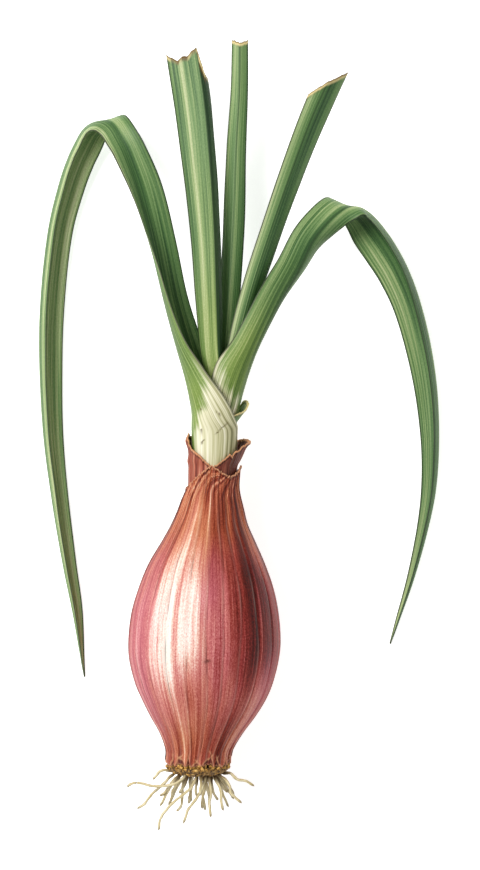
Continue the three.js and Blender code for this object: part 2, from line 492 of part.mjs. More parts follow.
function leaf(stations, { rows, half }, endShare = () => 1) {
  const curve = (first) => new THREE.CatmullRomCurve3(
    stations.map((s) => new THREE.Vector3(s[first], s[first + 1], s[first + 2])), false, 'catmullrom', 0.5);
  const [spine, facing, left, right] = [curve(0), curve(3), curve(6), curve(8)];
  const columns = 2 * half;
  const front = [];
  const back = [];
  for (let row = 0; row <= rows; row += 1) {
    for (let column = 0; column <= columns; column += 1) {
      const t = (row / rows) * endShare(column / half - 1);
      const keel = spine.getPoint(t);
      const along = spine.getTangent(t);
      const up = facing.getPoint(t).projectOnPlane(along).normalize();
      const sideways = new THREE.Vector3().crossVectors(along, up);
      const isLeft = column < half;
      const width = isLeft ? left.getPoint(t) : right.getPoint(t);
      const crease = right.getPoint(t).z;
      const [across, rise, tilt] = sideProfile(width.x, width.y, crease, half)[Math.abs(column - half)];
      const hand = isLeft ? -1 : 1;
      const middle = keel.clone().addScaledVector(sideways, hand * across).addScaledVector(up, rise);
      const normal = up.clone().multiplyScalar(Math.cos(tilt))
        .addScaledVector(sideways, -hand * Math.sin(tilt));
      front.push(middle.clone().addScaledVector(normal, LEAF_THICKNESS / 2));
      back.push(middle.clone().addScaledVector(normal, -LEAF_THICKNESS / 2));
    }
  }
  return sheetToSolid(front, back, rows, columns);
}

const cutLeaf = (stations, end) => leaf(stations, CUT_MESH, (across) => straight(end, across));

/** Closes two matching sheets of points into one body, split into triangles alike on both faces. */
function sheetToSolid(front, back, rows, columns) {
  const stride = columns + 1;
  const faces = [];
  for (let row = 0; row < rows; row += 1) {
    for (let column = 0; column < columns; column += 1) {
      const a = row * stride + column;
      const [b, c, d] = [a + 1, a + stride + 1, a + stride];
      faces.push([a, b, c], [a, c, d]);
      faces.push([a, c, b].map((k) => k + front.length), [a, d, c].map((k) => k + front.length));
    }
  }
  const edge = [];
  for (let column = 0; column < columns; column += 1) edge.push(column);
  for (let row = 0; row < rows; row += 1) edge.push(row * stride + columns);
  for (let column = columns; column > 0; column -= 1) edge.push(rows * stride + column);
  for (let row = rows; row > 0; row -= 1) edge.push(row * stride);
  edge.forEach((a, k) => {
    const b = edge[(k + 1) % edge.length];
    faces.push([b, a, a + front.length], [b, a + front.length, b + front.length]);
  });
  return solidFrom([...front, ...back], faces);
}

// ---------------------------------------------------------------- basal plate and roots

const PLATE_Z = axisHeight(PLATE[3][1]);

function plateBody() {
  const profile = PLATE.map(([radius, y]) => new THREE.Vector2(radius, -y));
  const lathe = new THREE.LatheGeometry(profile, PLATE_SIDES);
  lathe.rotateX(Math.PI);
  lathe.translate(PLATE_X, 0, PLATE_Z);
  return toManifold(lathe);
}

function knobs() {
  const random = seededRandom(7);
  return Array.from({ length: KNOBS }, (_, k) => {
    const degrees = ((k + 0.6 * (random() - 0.5)) * 360) / KNOBS;
    const knob = new THREE.SphereGeometry(KNOB_RADIUS + KNOB_SPREAD * random(), 7, 5);
    knob.scale(1, 0.85 + 0.4 * random(), 1);
    const at = aroundAxis(PLATE_X, KNOB_RING_Y + 0.5 * (random() - 0.5), PLATE_Z, KNOB_RING_RADIUS, degrees);
    knob.translate(at.x, at.y, at.z);
    return toManifold(knob);
  });
}

function rootSolid(points) {
  const curve = new THREE.CatmullRomCurve3(points, false, 'catmullrom', 0.5);
  const rows = Math.max(3, Math.round(curve.getLength() / ROOT_STEP));
  const rings = [];
  for (let row = 0; row <= rows; row += 1) {
    const share = row / rows;
    const along = curve.getTangent(share);
    const across = new THREE.Vector3(1, 0, 0.3).projectOnPlane(along).normalize();
    const up = new THREE.Vector3().crossVectors(along, across);
    const radius = THREE.MathUtils.lerp(ROOT_RADIUS, ROOT_TIP_RADIUS, share);
    rings.push(Array.from({ length: ROOT_SIDES }, (_, i) => {
      const angle = (i * 2 * Math.PI) / ROOT_SIDES;
      return curve.getPoint(share)
        .addScaledVector(across, radius * Math.cos(angle))
        .addScaledVector(up, radius * Math.sin(angle));
    }));
  }
  const end = curve.getPoint(1).addScaledVector(curve.getTangent(1), ROOT_TIP_RADIUS);
  const start = curve.getPoint(0).addScaledVector(curve.getTangent(0), -ROOT_RADIUS);
  return toManifold(ringsToSolid(rings, [start, end]));
}

/** A root on the underside: it leaves the plate's dome, fans out and bends a little to one side. */
function hiddenRoot(degrees, length, bend) {
  return [0, 0.5, 1].map((share) => aroundAxis(
    PLATE_X,
    ROOT_CROWN_Y - length * (0.5 + 0.4 * share) * share,
    PLATE_Z,
    5.5 + 0.8 * length * share,
    degrees + bend * share,
  ));
}

function rootPaths() {
  const sunk = (first) => new THREE.Vector3(
    THREE.MathUtils.lerp(PLATE_X, first.x, 0.75), ROOT_HEART_Y, THREE.MathUtils.lerp(PLATE_Z, first.z, 0.75));
  const shown = ROOTS.map((path) => path.map(([x, y, over]) => new THREE.Vector3(x, y, PLATE_Z + over)));
  const random = seededRandom(23);
  const hidden = Array.from({ length: HIDDEN_ROOTS }, (_, k) => {
    const share = (k + 0.5 + 0.5 * (random() - 0.5)) / HIDDEN_ROOTS;
    const degrees = THREE.MathUtils.lerp(HIDDEN_FROM, HIDDEN_TO, share);
    return hiddenRoot(degrees, 7 + 9 * random(), 12 * (random() - 0.5));
  });
  return [...shown, ...hidden].map((path) => [sunk(path[0]), ...path]);
}

const rootPlate = () => fromManifold(
  [...knobs(), ...rootPaths().map(rootSolid)].reduce((body, piece) => body.add(piece), plateBody()));

// ---------------------------------------------------------------- assembly

const finish = (color, roughness) => new THREE.MeshStandardMaterial({ color, roughness, metalness: 0 });

const FINISHES = {
  dryOuterSkin: finish(0xb5656b, 0.4),
  dryInnerSkin: finish(0x8a4632, 0.55),
  sheathedLeaf: finish(0x6f9a58, 0.5),
  greenSheath: finish(0x8aa45c, 0.5),
  leafBlade: finish(0x5b8c4c, 0.5),
  corkAndRoot: finish(0xd9c592, 0.85),
};

const shallot = new THREE.Group();

function addPiece(name, geometry, material) {
  const piece = new THREE.Mesh(geometry, material);
  piece.name = name;
  shallot.add(piece);
}

addPiece('bulb', bulb(), FINISHES.dryOuterSkin);
addPiece('inner_skin', innerSkin(), FINISHES.dryInnerSkin);
addPiece('leaf_left', leaf(LEAF_LEFT, HANGING_MESH), FINISHES.sheathedLeaf);
addPiece('sheath_flap', sheathFlap(), FINISHES.greenSheath);
addPiece('leaf_right', leaf(LEAF_RIGHT, HANGING_MESH), FINISHES.sheathedLeaf);
addPiece('leaf_cut_wide', cutLeaf(LEAF_CUT_WIDE, CUT_WIDE_END), FINISHES.leafBlade);
addPiece('leaf_cut_mid', cutLeaf(LEAF_CUT_MID, CUT_MID_END), FINISHES.leafBlade);
addPiece('leaf_cut_slant', cutLeaf(LEAF_CUT_SLANT, CUT_SLANT_END), FINISHES.leafBlade);
addPiece('root_plate', rootPlate(), FINISHES.corkAndRoot);

export default shallot;
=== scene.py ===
import bpy
import numpy as np
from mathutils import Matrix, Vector


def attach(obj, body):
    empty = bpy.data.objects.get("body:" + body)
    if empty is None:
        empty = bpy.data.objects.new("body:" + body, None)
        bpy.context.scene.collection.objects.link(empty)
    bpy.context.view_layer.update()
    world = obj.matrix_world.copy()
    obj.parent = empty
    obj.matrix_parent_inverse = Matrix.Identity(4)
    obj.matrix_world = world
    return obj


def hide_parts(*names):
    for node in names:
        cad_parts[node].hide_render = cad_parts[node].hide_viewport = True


# A long shallot as picked, lying on its side: the ribbed bulb in its papery skins, its corky plate with the
# roots, and five green leaves. Lengths are millimetres in the frame of the solids. Only make_mesh and the last
# two sections use metres.

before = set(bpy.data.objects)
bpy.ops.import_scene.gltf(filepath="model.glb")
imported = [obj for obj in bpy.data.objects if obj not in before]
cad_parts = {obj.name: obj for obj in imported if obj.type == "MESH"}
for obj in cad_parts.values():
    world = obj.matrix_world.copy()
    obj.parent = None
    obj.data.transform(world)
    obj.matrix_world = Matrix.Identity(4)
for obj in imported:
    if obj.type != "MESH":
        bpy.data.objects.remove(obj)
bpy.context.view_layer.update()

MM = 0.001
FULL_TURN = 6.28        # radians: the range of the random phases in the veins and the ragged cuts

# ---------------------------------------------------------------- dimensions shared with the solids

BELLY_Y = -4.0
BELLY_HEIGHT = 22.2     # height of the bulb's axis there
AXIS_DROP = 0.047       # how much the axis sinks for each millimetre towards the leaves
SKIN_WALL = 0.65        # outer skin at the mouth of the neck
MOUTH_Y = 41.0          # from here up the outer skin is a thin wall
SOCKET_FLOOR_Y = 36.0   # floor of the socket that the leaf sheaths stand in
SOCKET_FLOOR_RADIUS = 7.2
BASE_EDGE_Y = -40.7
BASE_DROOP = 0.35       # at the top the edge lies this much nearer to the roots
RECESS_FLOOR_Y = -39.6  # recess of the basal plate
RECESS_RADIUS = 8.2
RECESS_MOUTH_RADIUS = 9.2
CREASE_SHARPNESS = 9.0

# Bulb, from the base to the neck: y, radius, x of its axis
BULB = [
    (-43.0, 9.7, -2.0), (-39.1, 10.0, -1.9), (-36.4, 10.35, -1.65), (-31.6, 12.75, -1.05),
    (-26.8, 15.9, -0.6), (-22.0, 18.6, -0.3), (-17.2, 20.7, -0.3), (-10.0, 22.55, -0.3),
    (BELLY_Y, 23.0, -0.15), (4.4, 22.2, 0.0), (11.6, 20.4, 0.3), (18.8, 17.7, 0.5), (26.0, 14.0, 1.05),
    (30.8, 11.6, 1.35), (35.6, 9.9, 1.8), (41.0, 8.4, 2.1), (45.8, 7.95, 2.55), (50.0, 7.9, 2.8),
]
# Torn upper edge of the outer skin, and how far it leans out: degrees from the top towards +X, millimetres
OUTER_RIM = [
    (-90, 41.2), (-72, 42.0), (-48, 43.8), (-28, 46.0), (-4, 48.5), (16, 46.5), (38, 45.0), (63, 46.3),
    (90, 48.4), (112, 47.0), (140, 44.6), (165, 46.6), (190, 45.2), (215, 43.2), (240, 42.4),
]
OUTER_LEAN = [(-90, 0.1), (-48, 0.2), (-4, 0.9), (38, 0.4), (63, 0.2), (90, 0.3), (140, 0.1), (200, 0.1)]

INNER_SKIN = [
    (39.0, 6.55, 2.3), (45.8, 6.65, 2.5), (48.4, 6.75, 2.6), (50.0, 7.3, 2.75), (52.0, 7.65, 2.85),
    (58.5, 8.0, 2.9),
]
INNER_RIM = [
    (-150, 52.2), (-137, 54.6), (-124, 56.6), (-110, 57.5), (-96, 58.0), (-86, 57.6), (-73, 55.4),
    (-61, 53.4), (-36, 51.6), (-20, 49.6), (-4, 48.0), (8, 48.6), (29, 50.8), (37, 51.9), (42, 51.0),
    (52, 52.6), (60, 53.1), (72, 54.3), (84, 55.0), (93, 55.7), (104, 56.3), (118, 56.2), (131, 55.8),
    (143, 54.2), (156, 51.6), (180, 51.2), (198, 50.8),
]
INNER_LEAN = [
    (-125, 0.1), (-96, 0.3), (-50, 0), (30, 0), (60, 0.5), (78, 1.7), (90, 2.6), (103, 1.9), (120, 0.8),
    (140, 0.2), (170, 0), (200, 0),
]

FLAP = [
    (53.5, 5.4, 2.8), (57.0, 5.45, 3.0), (59.6, 5.45, 3.3), (61.0, 5.45, 3.65), (62.6, 5.55, 4.6),
    (65.0, 5.75, 5.9), (69.0, 5.9, 6.5),
]
FLAP_RIM = [
    (-120, 57.6), (-60, 58.0), (-20, 59.4), (20, 61.8), (42, 63.4), (65, 64.5), (78, 65.4), (90, 66.8),
    (100, 67.7), (112, 68.0), (123, 67.6), (133, 66.2), (148, 63.2), (165, 60.6), (200, 58.4),
]
FLAP_LEAN = [(-90, 0), (40, 0), (80, 0.5), (92, 0.7), (104, 0.5), (140, 0), (220, 0)]
FLAP_HEIGHT = 19.9

# Leaf spines along the keel, from the base up:
#   x, y, z,   the way the channel faces,   left width, left turn,   right width, right turn,   crease
LEAF_LEFT = [
    (-3.2, 37.0, 20.25, 1, 0, 0, 17.0, 174, 17.0, 174, 0),
    (-3.2, 45.0, 19.9, 1, 0, 0, 17.6, 174, 17.6, 174, 0),
    (-3.35, 48.2, 19.8, 1, 0, 0, 18.3, 174, 18.3, 174, 0),
    (-3.6, 52.5, 19.8, 1, 0, 0, 19.8, 174, 19.4, 170, 0),
    (-3.9, 59.0, 19.8, 1, 0.02, 0, 20.6, 170, 17.6, 145, 0),
    (-3.9, 64.1, 20.0, 1, 0.05, 0.02, 16.8, 128, 16.6, 128, 0),
    (-4.6, 68.6, 20.1, 1, 0.12, 0.05, 13.8, 104, 14.0, 104, 0.05),
    (-5.9, 74.6, 19.6, 1, 0.22, 0.12, 10.6, 88, 11.6, 92, 0.1),
    (-8.5, 84.3, 18.6, 0.95, 0.3, 0.32, 8.6, 68, 9.4, 74, 0.2),
    (-12.1, 98.2, 18.0, 0.88, 0.3, 0.44, 7.0, 58, 8.0, 62, 0.3),
    (-15.7, 115.0, 17.8, 0.72, 0.26, 0.62, 6.0, 50, 7.6, 46, 0.4),
    (-19.6, 130.7, 17.2, 0.5, 0.24, 0.83, 5.2, 38, 7.2, 34, 0.45),
    (-23.3, 141.9, 16.6, 0.26, 0.2, 0.94, 4.9, 24, 6.1, 26, 0.45),
    (-25.6, 147.0, 15.6, 0.1, 0.32, 0.94, 4.8, 8, 5.6, 24, 0.45),
    (-27.7, 150.6, 14.4, 0, 0.6, 0.8, 4.9, -8, 5.4, 14, 0.45),
    (-30.0, 152.3, 13.0, 0, 0.88, 0.46, 5.3, -26, 6.3, -6, 0.5),
    (-32.7, 152.4, 11.6, -0.12, 0.98, 0.1, 5.4, -36, 7.4, -36, 0.55),
    (-35.3, 151.5, 10.2, -0.45, 0.88, 0, 5.3, -35, 8.3, -62, 0.6),
    (-37.5, 149.6, 9.0, -0.72, 0.68, 0, 5.2, -34, 8.8, -80, 0.6),
    (-39.5, 146.3, 7.8, -0.86, 0.5, 0, 5.1, -34, 9.0, -91, 0.6),
    (-41.8, 141.6, 6.8, -0.9, 0.42, 0, 5.0, -35, 8.9, -96, 0.6),
    (-44.5, 133.9, 5.8, -0.95, 0.3, 0, 5.0, -36, 8.7, -97, 0.6),
    (-47.7, 120.6, 5.1, -0.98, 0.18, 0, 5.0, -36, 8.2, -97, 0.6),
    (-49.9, 102.3, 4.3, -1, 0.07, 0, 5.0, -36, 8.1, -97, 0.6),
    (-50.6, 83.4, 3.8, -1, -0.02, 0, 4.8, -36, 7.8, -97, 0.6),
    (-49.5, 59.0, 3.3, -1, -0.1, 0, 4.2, -36, 6.7, -97, 0.6),
    (-46.8, 37.7, 2.9, -0.98, -0.18, 0, 3.4, -36, 5.6, -97, 0.6),
    (-43.5, 18.1, 2.5, -0.98, -0.18, 0, 2.6, -36, 4.5, -97, 0.6),
    (-40.3, 2.2, 2.0, -0.98, -0.2, 0, 1.8, -36, 3.3, -96, 0.5),
    (-37.1, -16.5, 1.2, -0.98, -0.15, 0, 0.5, -24, 0.5, -70, 0.3),
]
LEAF_RIGHT = [
    (6.8, 39.0, 20.15, -1, 0, 0, 13.3, 174, 13.3, 174, 0),
    (6.9, 47.0, 19.85, -1, 0, 0, 13.3, 174, 13.3, 174, 0),
    (7.3, 54.2, 19.7, -1, 0, 0, 13.6, 174, 13.6, 174, 0),
    (8.1, 60.2, 19.8, -1, 0, 0, 13.8, 172, 13.8, 172, 0),
    (9.9, 65.0, 20.0, -1, 0.03, 0, 13.6, 166, 13.6, 168, 0),
    (11.3, 70.1, 20.2, -1, 0.1, 0, 13.0, 144, 13.6, 150, 0.05),
    (13.0, 75.8, 20.2, -0.98, 0.2, 0, 11.4, 108, 13.2, 128, 0.1),
    (15.4, 82.4, 20.0, -0.93, 0.3, -0.12, 9.6, 82, 9.8, 104, 0.2),
    (18.3, 88.8, 19.6, -0.87, 0.4, -0.25, 8.6, 66, 8.6, 84, 0.3),
    (23.0, 98.1, 19.2, -0.74, 0.5, -0.45, 7.6, 54, 8.2, 60, 0.4),
    (28.1, 107.0, 18.6, -0.55, 0.42, -0.72, 6.7, 54, 7.4, 44, 0.45),
    (32.3, 115.6, 17.9, -0.4, 0.2, -0.88, 5.6, 52, 6.9, 34, 0.45),
    (36.9, 121.4, 17.1, -0.3, -0.15, -0.93, 4.9, 46, 6.8, 26, 0.45),
    (40.7, 124.8, 16.0, -0.2, -0.5, -0.84, 4.3, 36, 7.2, 16, 0.45),
    (43.3, 126.2, 14.5, -0.1, -0.85, -0.5, 4.6, 31, 7.6, 10, 0.5),
    (45.6, 126.5, 13.0, -0.05, -1, -0.1, 5.1, 36, 8.0, 28, 0.55),
    (47.9, 125.9, 11.5, -0.4, -0.9, 0, 5.4, 33, 9.4, 56, 0.6),
    (50.8, 123.9, 10.0, -0.65, -0.76, 0, 5.4, 29, 10.6, 74, 0.6),
    (53.9, 120.5, 8.7, -0.78, -0.63, 0, 5.3, 28, 11.3, 87, 0.6),
    (57.6, 115.3, 7.5, -0.85, -0.52, 0, 5.2, 29, 11.2, 94, 0.6),
    (61.6, 107.9, 6.4, -0.9, -0.42, 0, 5.1, 31, 10.4, 97, 0.6),
    (65.2, 98.3, 5.4, -0.94, -0.3, 0, 5.0, 34, 9.4, 97, 0.6),
    (68.4, 85.5, 4.6, -0.97, -0.2, 0, 4.8, 36, 8.6, 97, 0.6),
    (70.5, 71.2, 3.9, -1, -0.1, 0, 4.4, 36, 7.5, 97, 0.6),
    (71.1, 56.0, 3.4, -1, 0.02, 0, 3.8, 36, 6.1, 97, 0.6),
    (70.3, 41.9, 3.0, -1, 0.1, 0, 3.2, 36, 5.0, 97, 0.6),
    (68.0, 29.7, 2.5, -0.97, 0.2, 0, 2.5, 36, 3.8, 97, 0.6),
    (63.8, 14.4, 1.9, -0.95, 0.28, 0, 1.7, 36, 2.5, 96, 0.5),
    (59.1, 0.9, 1.3, -0.93, 0.34, 0, 1.0, 24, 1.4, 76, 0.4),
    (56.5, -6.4, 0.8, -0.93, 0.35, 0, 0.5, 24, 0.5, 70, 0.3),
]
LEAF_CUT_WIDE = [
    (3.3, 58.0, 22.4, 0.05, 0, -1, 1.6, 60, 2.2, 64, 0.15),
    (4.3, 64.4, 22.6, 0.08, 0, -1, 1.5, 66, 2.3, 64, 0.2),
    (4.6, 70.0, 23.0, 0.1, 0, -1, 1.4, 76, 2.8, 58, 0.35),
    (4.6, 73.6, 23.3, 0.1, 0, -1, 1.4, 80, 4.3, 46, 0.4),
    (4.35, 77.4, 23.3, 0.12, 0, -1, 1.7, 84, 5.45, 34, 0.5),
    (3.8, 84.4, 23.6, 0.12, 0, -1, 2.8, 88, 6.0, 22, 0.6),
    (3.3, 100.9, 24.2, 0.12, 0, -1, 3.7, 92, 6.7, 16, 0.6),
    (2.7, 118.9, 24.2, 0.12, 0, -1, 4.1, 92, 7.5, 12, 0.6),
    (1.4, 139.8, 24.0, 0.12, 0, -1, 4.2, 92, 8.7, 12, 0.6),
    (-0.3, 157.9, 23.6, 0.12, 0, -1, 4.3, 92, 9.5, 12, 0.6),
    (-2.6, 173.7, 23.0, 0.12, 0, -1, 4.3, 92, 9.6, 12, 0.6),
]
LEAF_CUT_MID = [
    (3.2, 58.0, 18.2, 0.1, 0, -1, 1.9, 46, 1.9, 46, 0.3),
    (5.0, 64.4, 18.4, 0.1, 0, -1, 2.1, 46, 2.1, 46, 0.3),
    (6.1, 71.0, 18.5, 0.1, 0, -1, 2.5, 44, 2.1, 46, 0.4),
    (6.2, 84.6, 18.2, 0.1, 0, -1, 3.2, 36, 3.3, 38, 0.5),
    (7.5, 102.7, 17.8, 0.1, 0, -1, 3.5, 34, 3.6, 34, 0.55),
    (8.5, 120.8, 17.4, 0.1, 0, -1, 3.6, 32, 3.6, 34, 0.55),
    (9.3, 143.4, 17.0, 0.1, 0, -1, 3.2, 32, 3.3, 32, 0.55),
    (10.3, 161.5, 16.4, 0.05, 0, -1, 2.8, 30, 2.9, 30, 0.55),
    (10.5, 176.8, 16.0, 0, 0, -1, 2.6, 28, 2.6, 28, 0.55),
]
LEAF_CUT_SLANT = [
    (5.6, 58.0, 20.2, -0.9, 0, -0.44, 1.3, 48, 1.3, 52, 0.3),
    (7.4, 64.4, 20.5, -0.85, 0, -0.53, 1.6, 46, 1.6, 50, 0.35),
    (8.0, 70.4, 20.7, -0.75, 0, -0.66, 2.2, 44, 2.0, 48, 0.4),
    (8.7, 77.6, 20.9, -0.6, 0, -0.8, 3.0, 38, 2.9, 40, 0.5),
    (11.0, 89.0, 21.0, -0.45, 0, -0.89, 3.7, 36, 3.3, 34, 0.5),
    (15.0, 104.0, 21.0, -0.4, 0, -0.91, 4.2, 32, 3.3, 30, 0.5),
    (20.4, 120.6, 20.8, -0.4, 0, -0.91, 4.6, 28, 3.3, 26, 0.5),
    (26.1, 137.1, 20.4, -0.4, 0, -0.91, 5.0, 26, 3.5, 22, 0.5),
    (32.0, 152.8, 19.8, -0.4, 0, -0.91, 5.5, 24, 3.7, 20, 0.5),
    (39.4, 169.2, 19.1, -0.4, 0, -0.91, 5.8, 24, 4.2, 20, 0.5),
]
# Where each cut runs: place across from -1 at the left rim to 1 at the right rim, and share of the spine
CUT_WIDE_END = [
    (-1, 0.934), (-0.6, 0.942), (-0.3, 0.952), (-0.1, 0.982), (0, 1), (0.2, 0.9936), (0.35, 0.985),
    (0.5, 0.988), (0.65, 0.982), (0.89, 0.99), (1, 0.9975),
]
CUT_MID_END = [(-1, 1), (-0.5, 0.9955), (0, 0.992), (0.5, 0.9965), (1, 1)]
CUT_SLANT_END = [(-1, 0.999), (0, 0.963), (1, 0.927)]

PLATE_X = -2.0
PLATE_Z = BELLY_HEIGHT - AXIS_DROP * (-41.8 - BELLY_Y)
PLATE = [
    (0, -39.95), (7.6, -39.95), (7.7, -41.3), (9.0, -41.8), (9.1, -42.5), (7.4, -43.7), (3.5, -44.4),
    (0, -44.5),
]
ROOT_RADIUS = 0.46
ROOT_TIP_RADIUS = 0.38
ROOT_HEART_Y = -42.4
ROOT_CROWN_Y = -43.9
# A fan of more roots on the underside: first angle and spread in degrees from the top, least and most extra
# length, how far they bend round, and where they leave the plate
HIDDEN_ROOTS = 9
FAN_START = 105
FAN_SPREAD = 150
FAN_LENGTH = 7
FAN_EXTRA = 9
FAN_BEND = 12
FAN_RADIUS = 5.5
# Roots on the upper side and the flanks, from the plate outwards: x, y, height over the plate's centre
ROOTS = [
    [(-8.2, -43.1, 1), (-10.3, -42.9, 2), (-12.2, -42.6, 2.4), (-13.7, -43.2, 2), (-14.7, -44.6, 1.4),
     (-15.4, -45.6, 1)],
    [(-5.5, -43.2, 5), (-6.3, -44.5, 6.5), (-8.1, -45.8, 7.6), (-10.5, -46.6, 8.2), (-13.3, -46.9, 8),
     (-16.1, -46.8, 7.4), (-18.4, -46.2, 7), (-20.5, -46, 6.6), (-22.1, -46.5, 6.2), (-23.1, -47.3, 6)],
    [(-9, -43.6, 2), (-10.8, -44.9, 3.4), (-12, -46.3, 4), (-13.9, -48, 4.2), (-15.9, -49.7, 3.6),
     (-17.2, -51.6, 2.8), (-18.4, -53.1, 2), (-20.2, -54.2, 1.4)],
    [(-7.4, -43.7, 3), (-9, -45.5, 5), (-10.6, -47.2, 5.6), (-11.6, -48.6, 6), (-12.3, -49.3, 6.4),
     (-13.4, -49.9, 6.8)],
    [(-7.5, -44.4, 0), (-8.5, -47, 0.4), (-9.5, -48.9, 0), (-9.9, -50.7, -0.6), (-10.4, -52.7, -1)],
    [(-2.3, -43.8, 5), (-3.2, -46, 7.4), (-4.5, -47.7, 8.4), (-6.6, -49.5, 8.8), (-8.9, -51.3, 8.6),
     (-10.9, -53.4, 8), (-12.5, -55.3, 7.4), (-13.3, -57.4, 6.8), (-13.8, -60.2, 6.2)],
    [(-5.9, -45.2, -2), (-6.7, -47.8, -3.4), (-6.8, -49.8, -4.4), (-6.9, -52.6, -5), (-7.5, -54.5, -5.6),
     (-8.6, -55.8, -6)],
    [(-5.2, -44.7, 3), (-5.9, -46.9, 3.8), (-7.1, -48.4, 4.2), (-7.5, -49.4, 4.4)],
    [(-4.2, -45, -3), (-4.7, -47.5, -5), (-4.4, -49.9, -6.4), (-4.8, -52.2, -7.4), (-4.9, -53.7, -8)],
    [(0.3, -44, 4), (0, -45.7, 5.6), (-0.7, -47.4, 6), (-1.7, -49.5, 6), (-3, -51.6, 5.4),
     (-4.6, -53.6, 4.8), (-5.5, -55.6, 4.4), (-6.4, -58.4, 4)],
    [(-2.4, -45, 0), (-2.5, -47.3, 0.4), (-2.7, -48.8, 0.2), (-2.5, -50.9, -0.6)],
    [(-1, -44, 6), (-1.1, -46.2, 8.2), (-1.4, -48, 9.6), (-1.2, -49.5, 10)],
    [(-0.4, -44.9, 1), (-0.1, -47.4, 2), (-0.3, -49.6, 2), (-0.8, -51.9, 1.4), (-0.9, -54.3, 1)],
    [(0.6, -45.4, -4), (0.4, -48.1, -5.6), (0.9, -50.1, -6.8), (1.6, -51.6, -7.6)],
    [(1.2, -44.5, 4), (1.6, -47.2, 5.4), (1.8, -49.5, 6), (1.5, -51.9, 6.4), (1.5, -53.9, 6.6),
     (1.8, -56.2, 7)],
    [(1.8, -44.6, 1), (2.1, -46.8, 1.6), (2.5, -49.1, 2), (3.4, -50.9, 2), (3.9, -51.6, 2)],
    [(2.9, -44.5, 2), (3.8, -46.4, 3.4), (4.7, -48.4, 4), (4.9, -50.4, 4.2), (5, -52.5, 4.2),
     (5.6, -54.5, 4)],
    [(3.7, -45, -2), (4.8, -47.3, -2.6), (5.7, -48.7, -3), (6.9, -49.8, -3)],
    [(4.4, -44, 4), (6.3, -45.3, 5.4), (7.4, -47.1, 6), (7.8, -49, 6), (9.2, -50.6, 5.6), (10.9, -52.2, 5)],
    [(5.2, -43.6, 2), (7.3, -43.4, 3), (8.6, -44.3, 3.4), (9.9, -45.4, 3), (12.1, -45.8, 2.6),
     (13.5, -46.6, 2.2), (14.7, -47.4, 2)],
]

# ---------------------------------------------------------------- numbers and meshes


def catmull(points, t):
    """Points on the uniform Catmull-Rom curve through the points, at shares t of its length in stations."""
    points = np.asarray(points, float)
    padded = np.vstack([2 * points[0] - points[1], points, 2 * points[-1] - points[-2]])
    place = np.clip(t, 0, 1) * (len(points) - 1)
    i = np.minimum(place.astype(int), len(points) - 2)
    w = (place - i)[..., None]
    a, b, c, d = (padded[i + k] for k in range(4))
    return 0.5 * (2 * b + (c - a) * w + (2 * a - 5 * b + 4 * c - d) * w**2 + (3 * b - a - 3 * c + d) * w**3)


def smooth(table, at, column):
    """Smooth value of one column of a table whose first column rises."""
    table = np.asarray(table, float)
    x, y = table[:, 0], table[:, column]
    low = np.maximum(np.arange(len(x)) - 1, 0)
    high = np.minimum(np.arange(len(x)) + 1, len(x) - 1)
    slope = (y[high] - y[low]) / (x[high] - x[low])
    i = np.clip(np.searchsorted(x, at) - 1, 0, len(x) - 2)
    span = x[i + 1] - x[i]
    t = np.clip((at - x[i]) / span, 0, 1)
    rise = (y[i + 1] - y[i]) / span
    bend = (slope[i] - rise) * t * (1 - t) ** 2 + (rise - slope[i + 1]) * t**2 * (1 - t)
    return y[i] + span * (rise * t + bend)


def round_ring(table, degrees):
    """Value of a rim table at an angle: straight between its points, and closed round the ring."""
    x, y = (np.array(column, float) for column in zip(*table))
    at = x[0] + np.mod(degrees - x[0], 360)
    return np.interp(at, np.append(x, x[0] + 360), np.append(y, y[0]))


def bell(value, middle, width):
    """1 at the middle, and smoothly down to 0 on both sides."""
    return np.exp(-(((value - middle) / width) ** 2))


def from_top(degrees):
    """The same angle between -180 and 180: 0 is the top of the lying bulb, and 90 is +X."""
    return np.mod(degrees + 180, 360) - 180


def step(low, high, value):
    """Smooth step from 0 below low to 1 above high."""
    t = np.clip((value - low) / (high - low), 0, 1)
    return t * t * (3 - 2 * t)


def ripple(degrees, counts, seed):
    """Ragged closed wave round a ring, from about -1 to 1: a sine for each count, with random phases."""
    draws = np.random.default_rng(seed)
    waves = [np.sin(np.radians(degrees) * n + draws.uniform(0, 2 * np.pi)) for n in counts]
    return sum(waves) / np.sqrt(len(counts))


def drift(along, lengths, seed):
    """Slow open wave along a piece, between about -1 and 1: one sine for each wavelength."""
    draws = np.random.default_rng(seed)
    waves = [np.sin(2 * np.pi * along / length + draws.uniform(0, 2 * np.pi)) for length in lengths]
    return sum(waves) / np.sqrt(len(lengths))


FADING_SHARE = 0.35     # share of a stripe's length over which each of its ends fades out


def banded(bands, along, across):
    """A value given over a surface: each band has its place along, and then its values across."""
    along, across = np.broadcast_arrays(along, across)
    places = np.array([place for place, _ in bands], float)
    rows = np.array([np.interp(across, *zip(*values)) for _, values in bands])
    if len(bands) == 1:
        return rows[0]
    i = np.clip(np.searchsorted(places, along) - 1, 0, len(places) - 2)
    share = step(0, 1, (along - places[i]) / (places[i + 1] - places[i]))
    low = np.take_along_axis(rows, i[None], 0)[0]
    return low + (np.take_along_axis(rows, i[None] + 1, 0)[0] - low) * share


def striped(level, stripes, y, facing):
    """A value over the bulb: a level along it, and broad soft stripes that fade out at both their ends."""
    value = np.interp(y, *zip(*level))
    for middle, width, start, end, strength in stripes:
        fade = FADING_SHARE * (end - start)
        present = step(start, start + fade, y) * step(end, end - fade, y)
        value = value + strength * present * bell(facing, middle, width)
    return value


def axis_height(y):
    return BELLY_HEIGHT - AXIS_DROP * (y - BELLY_Y)


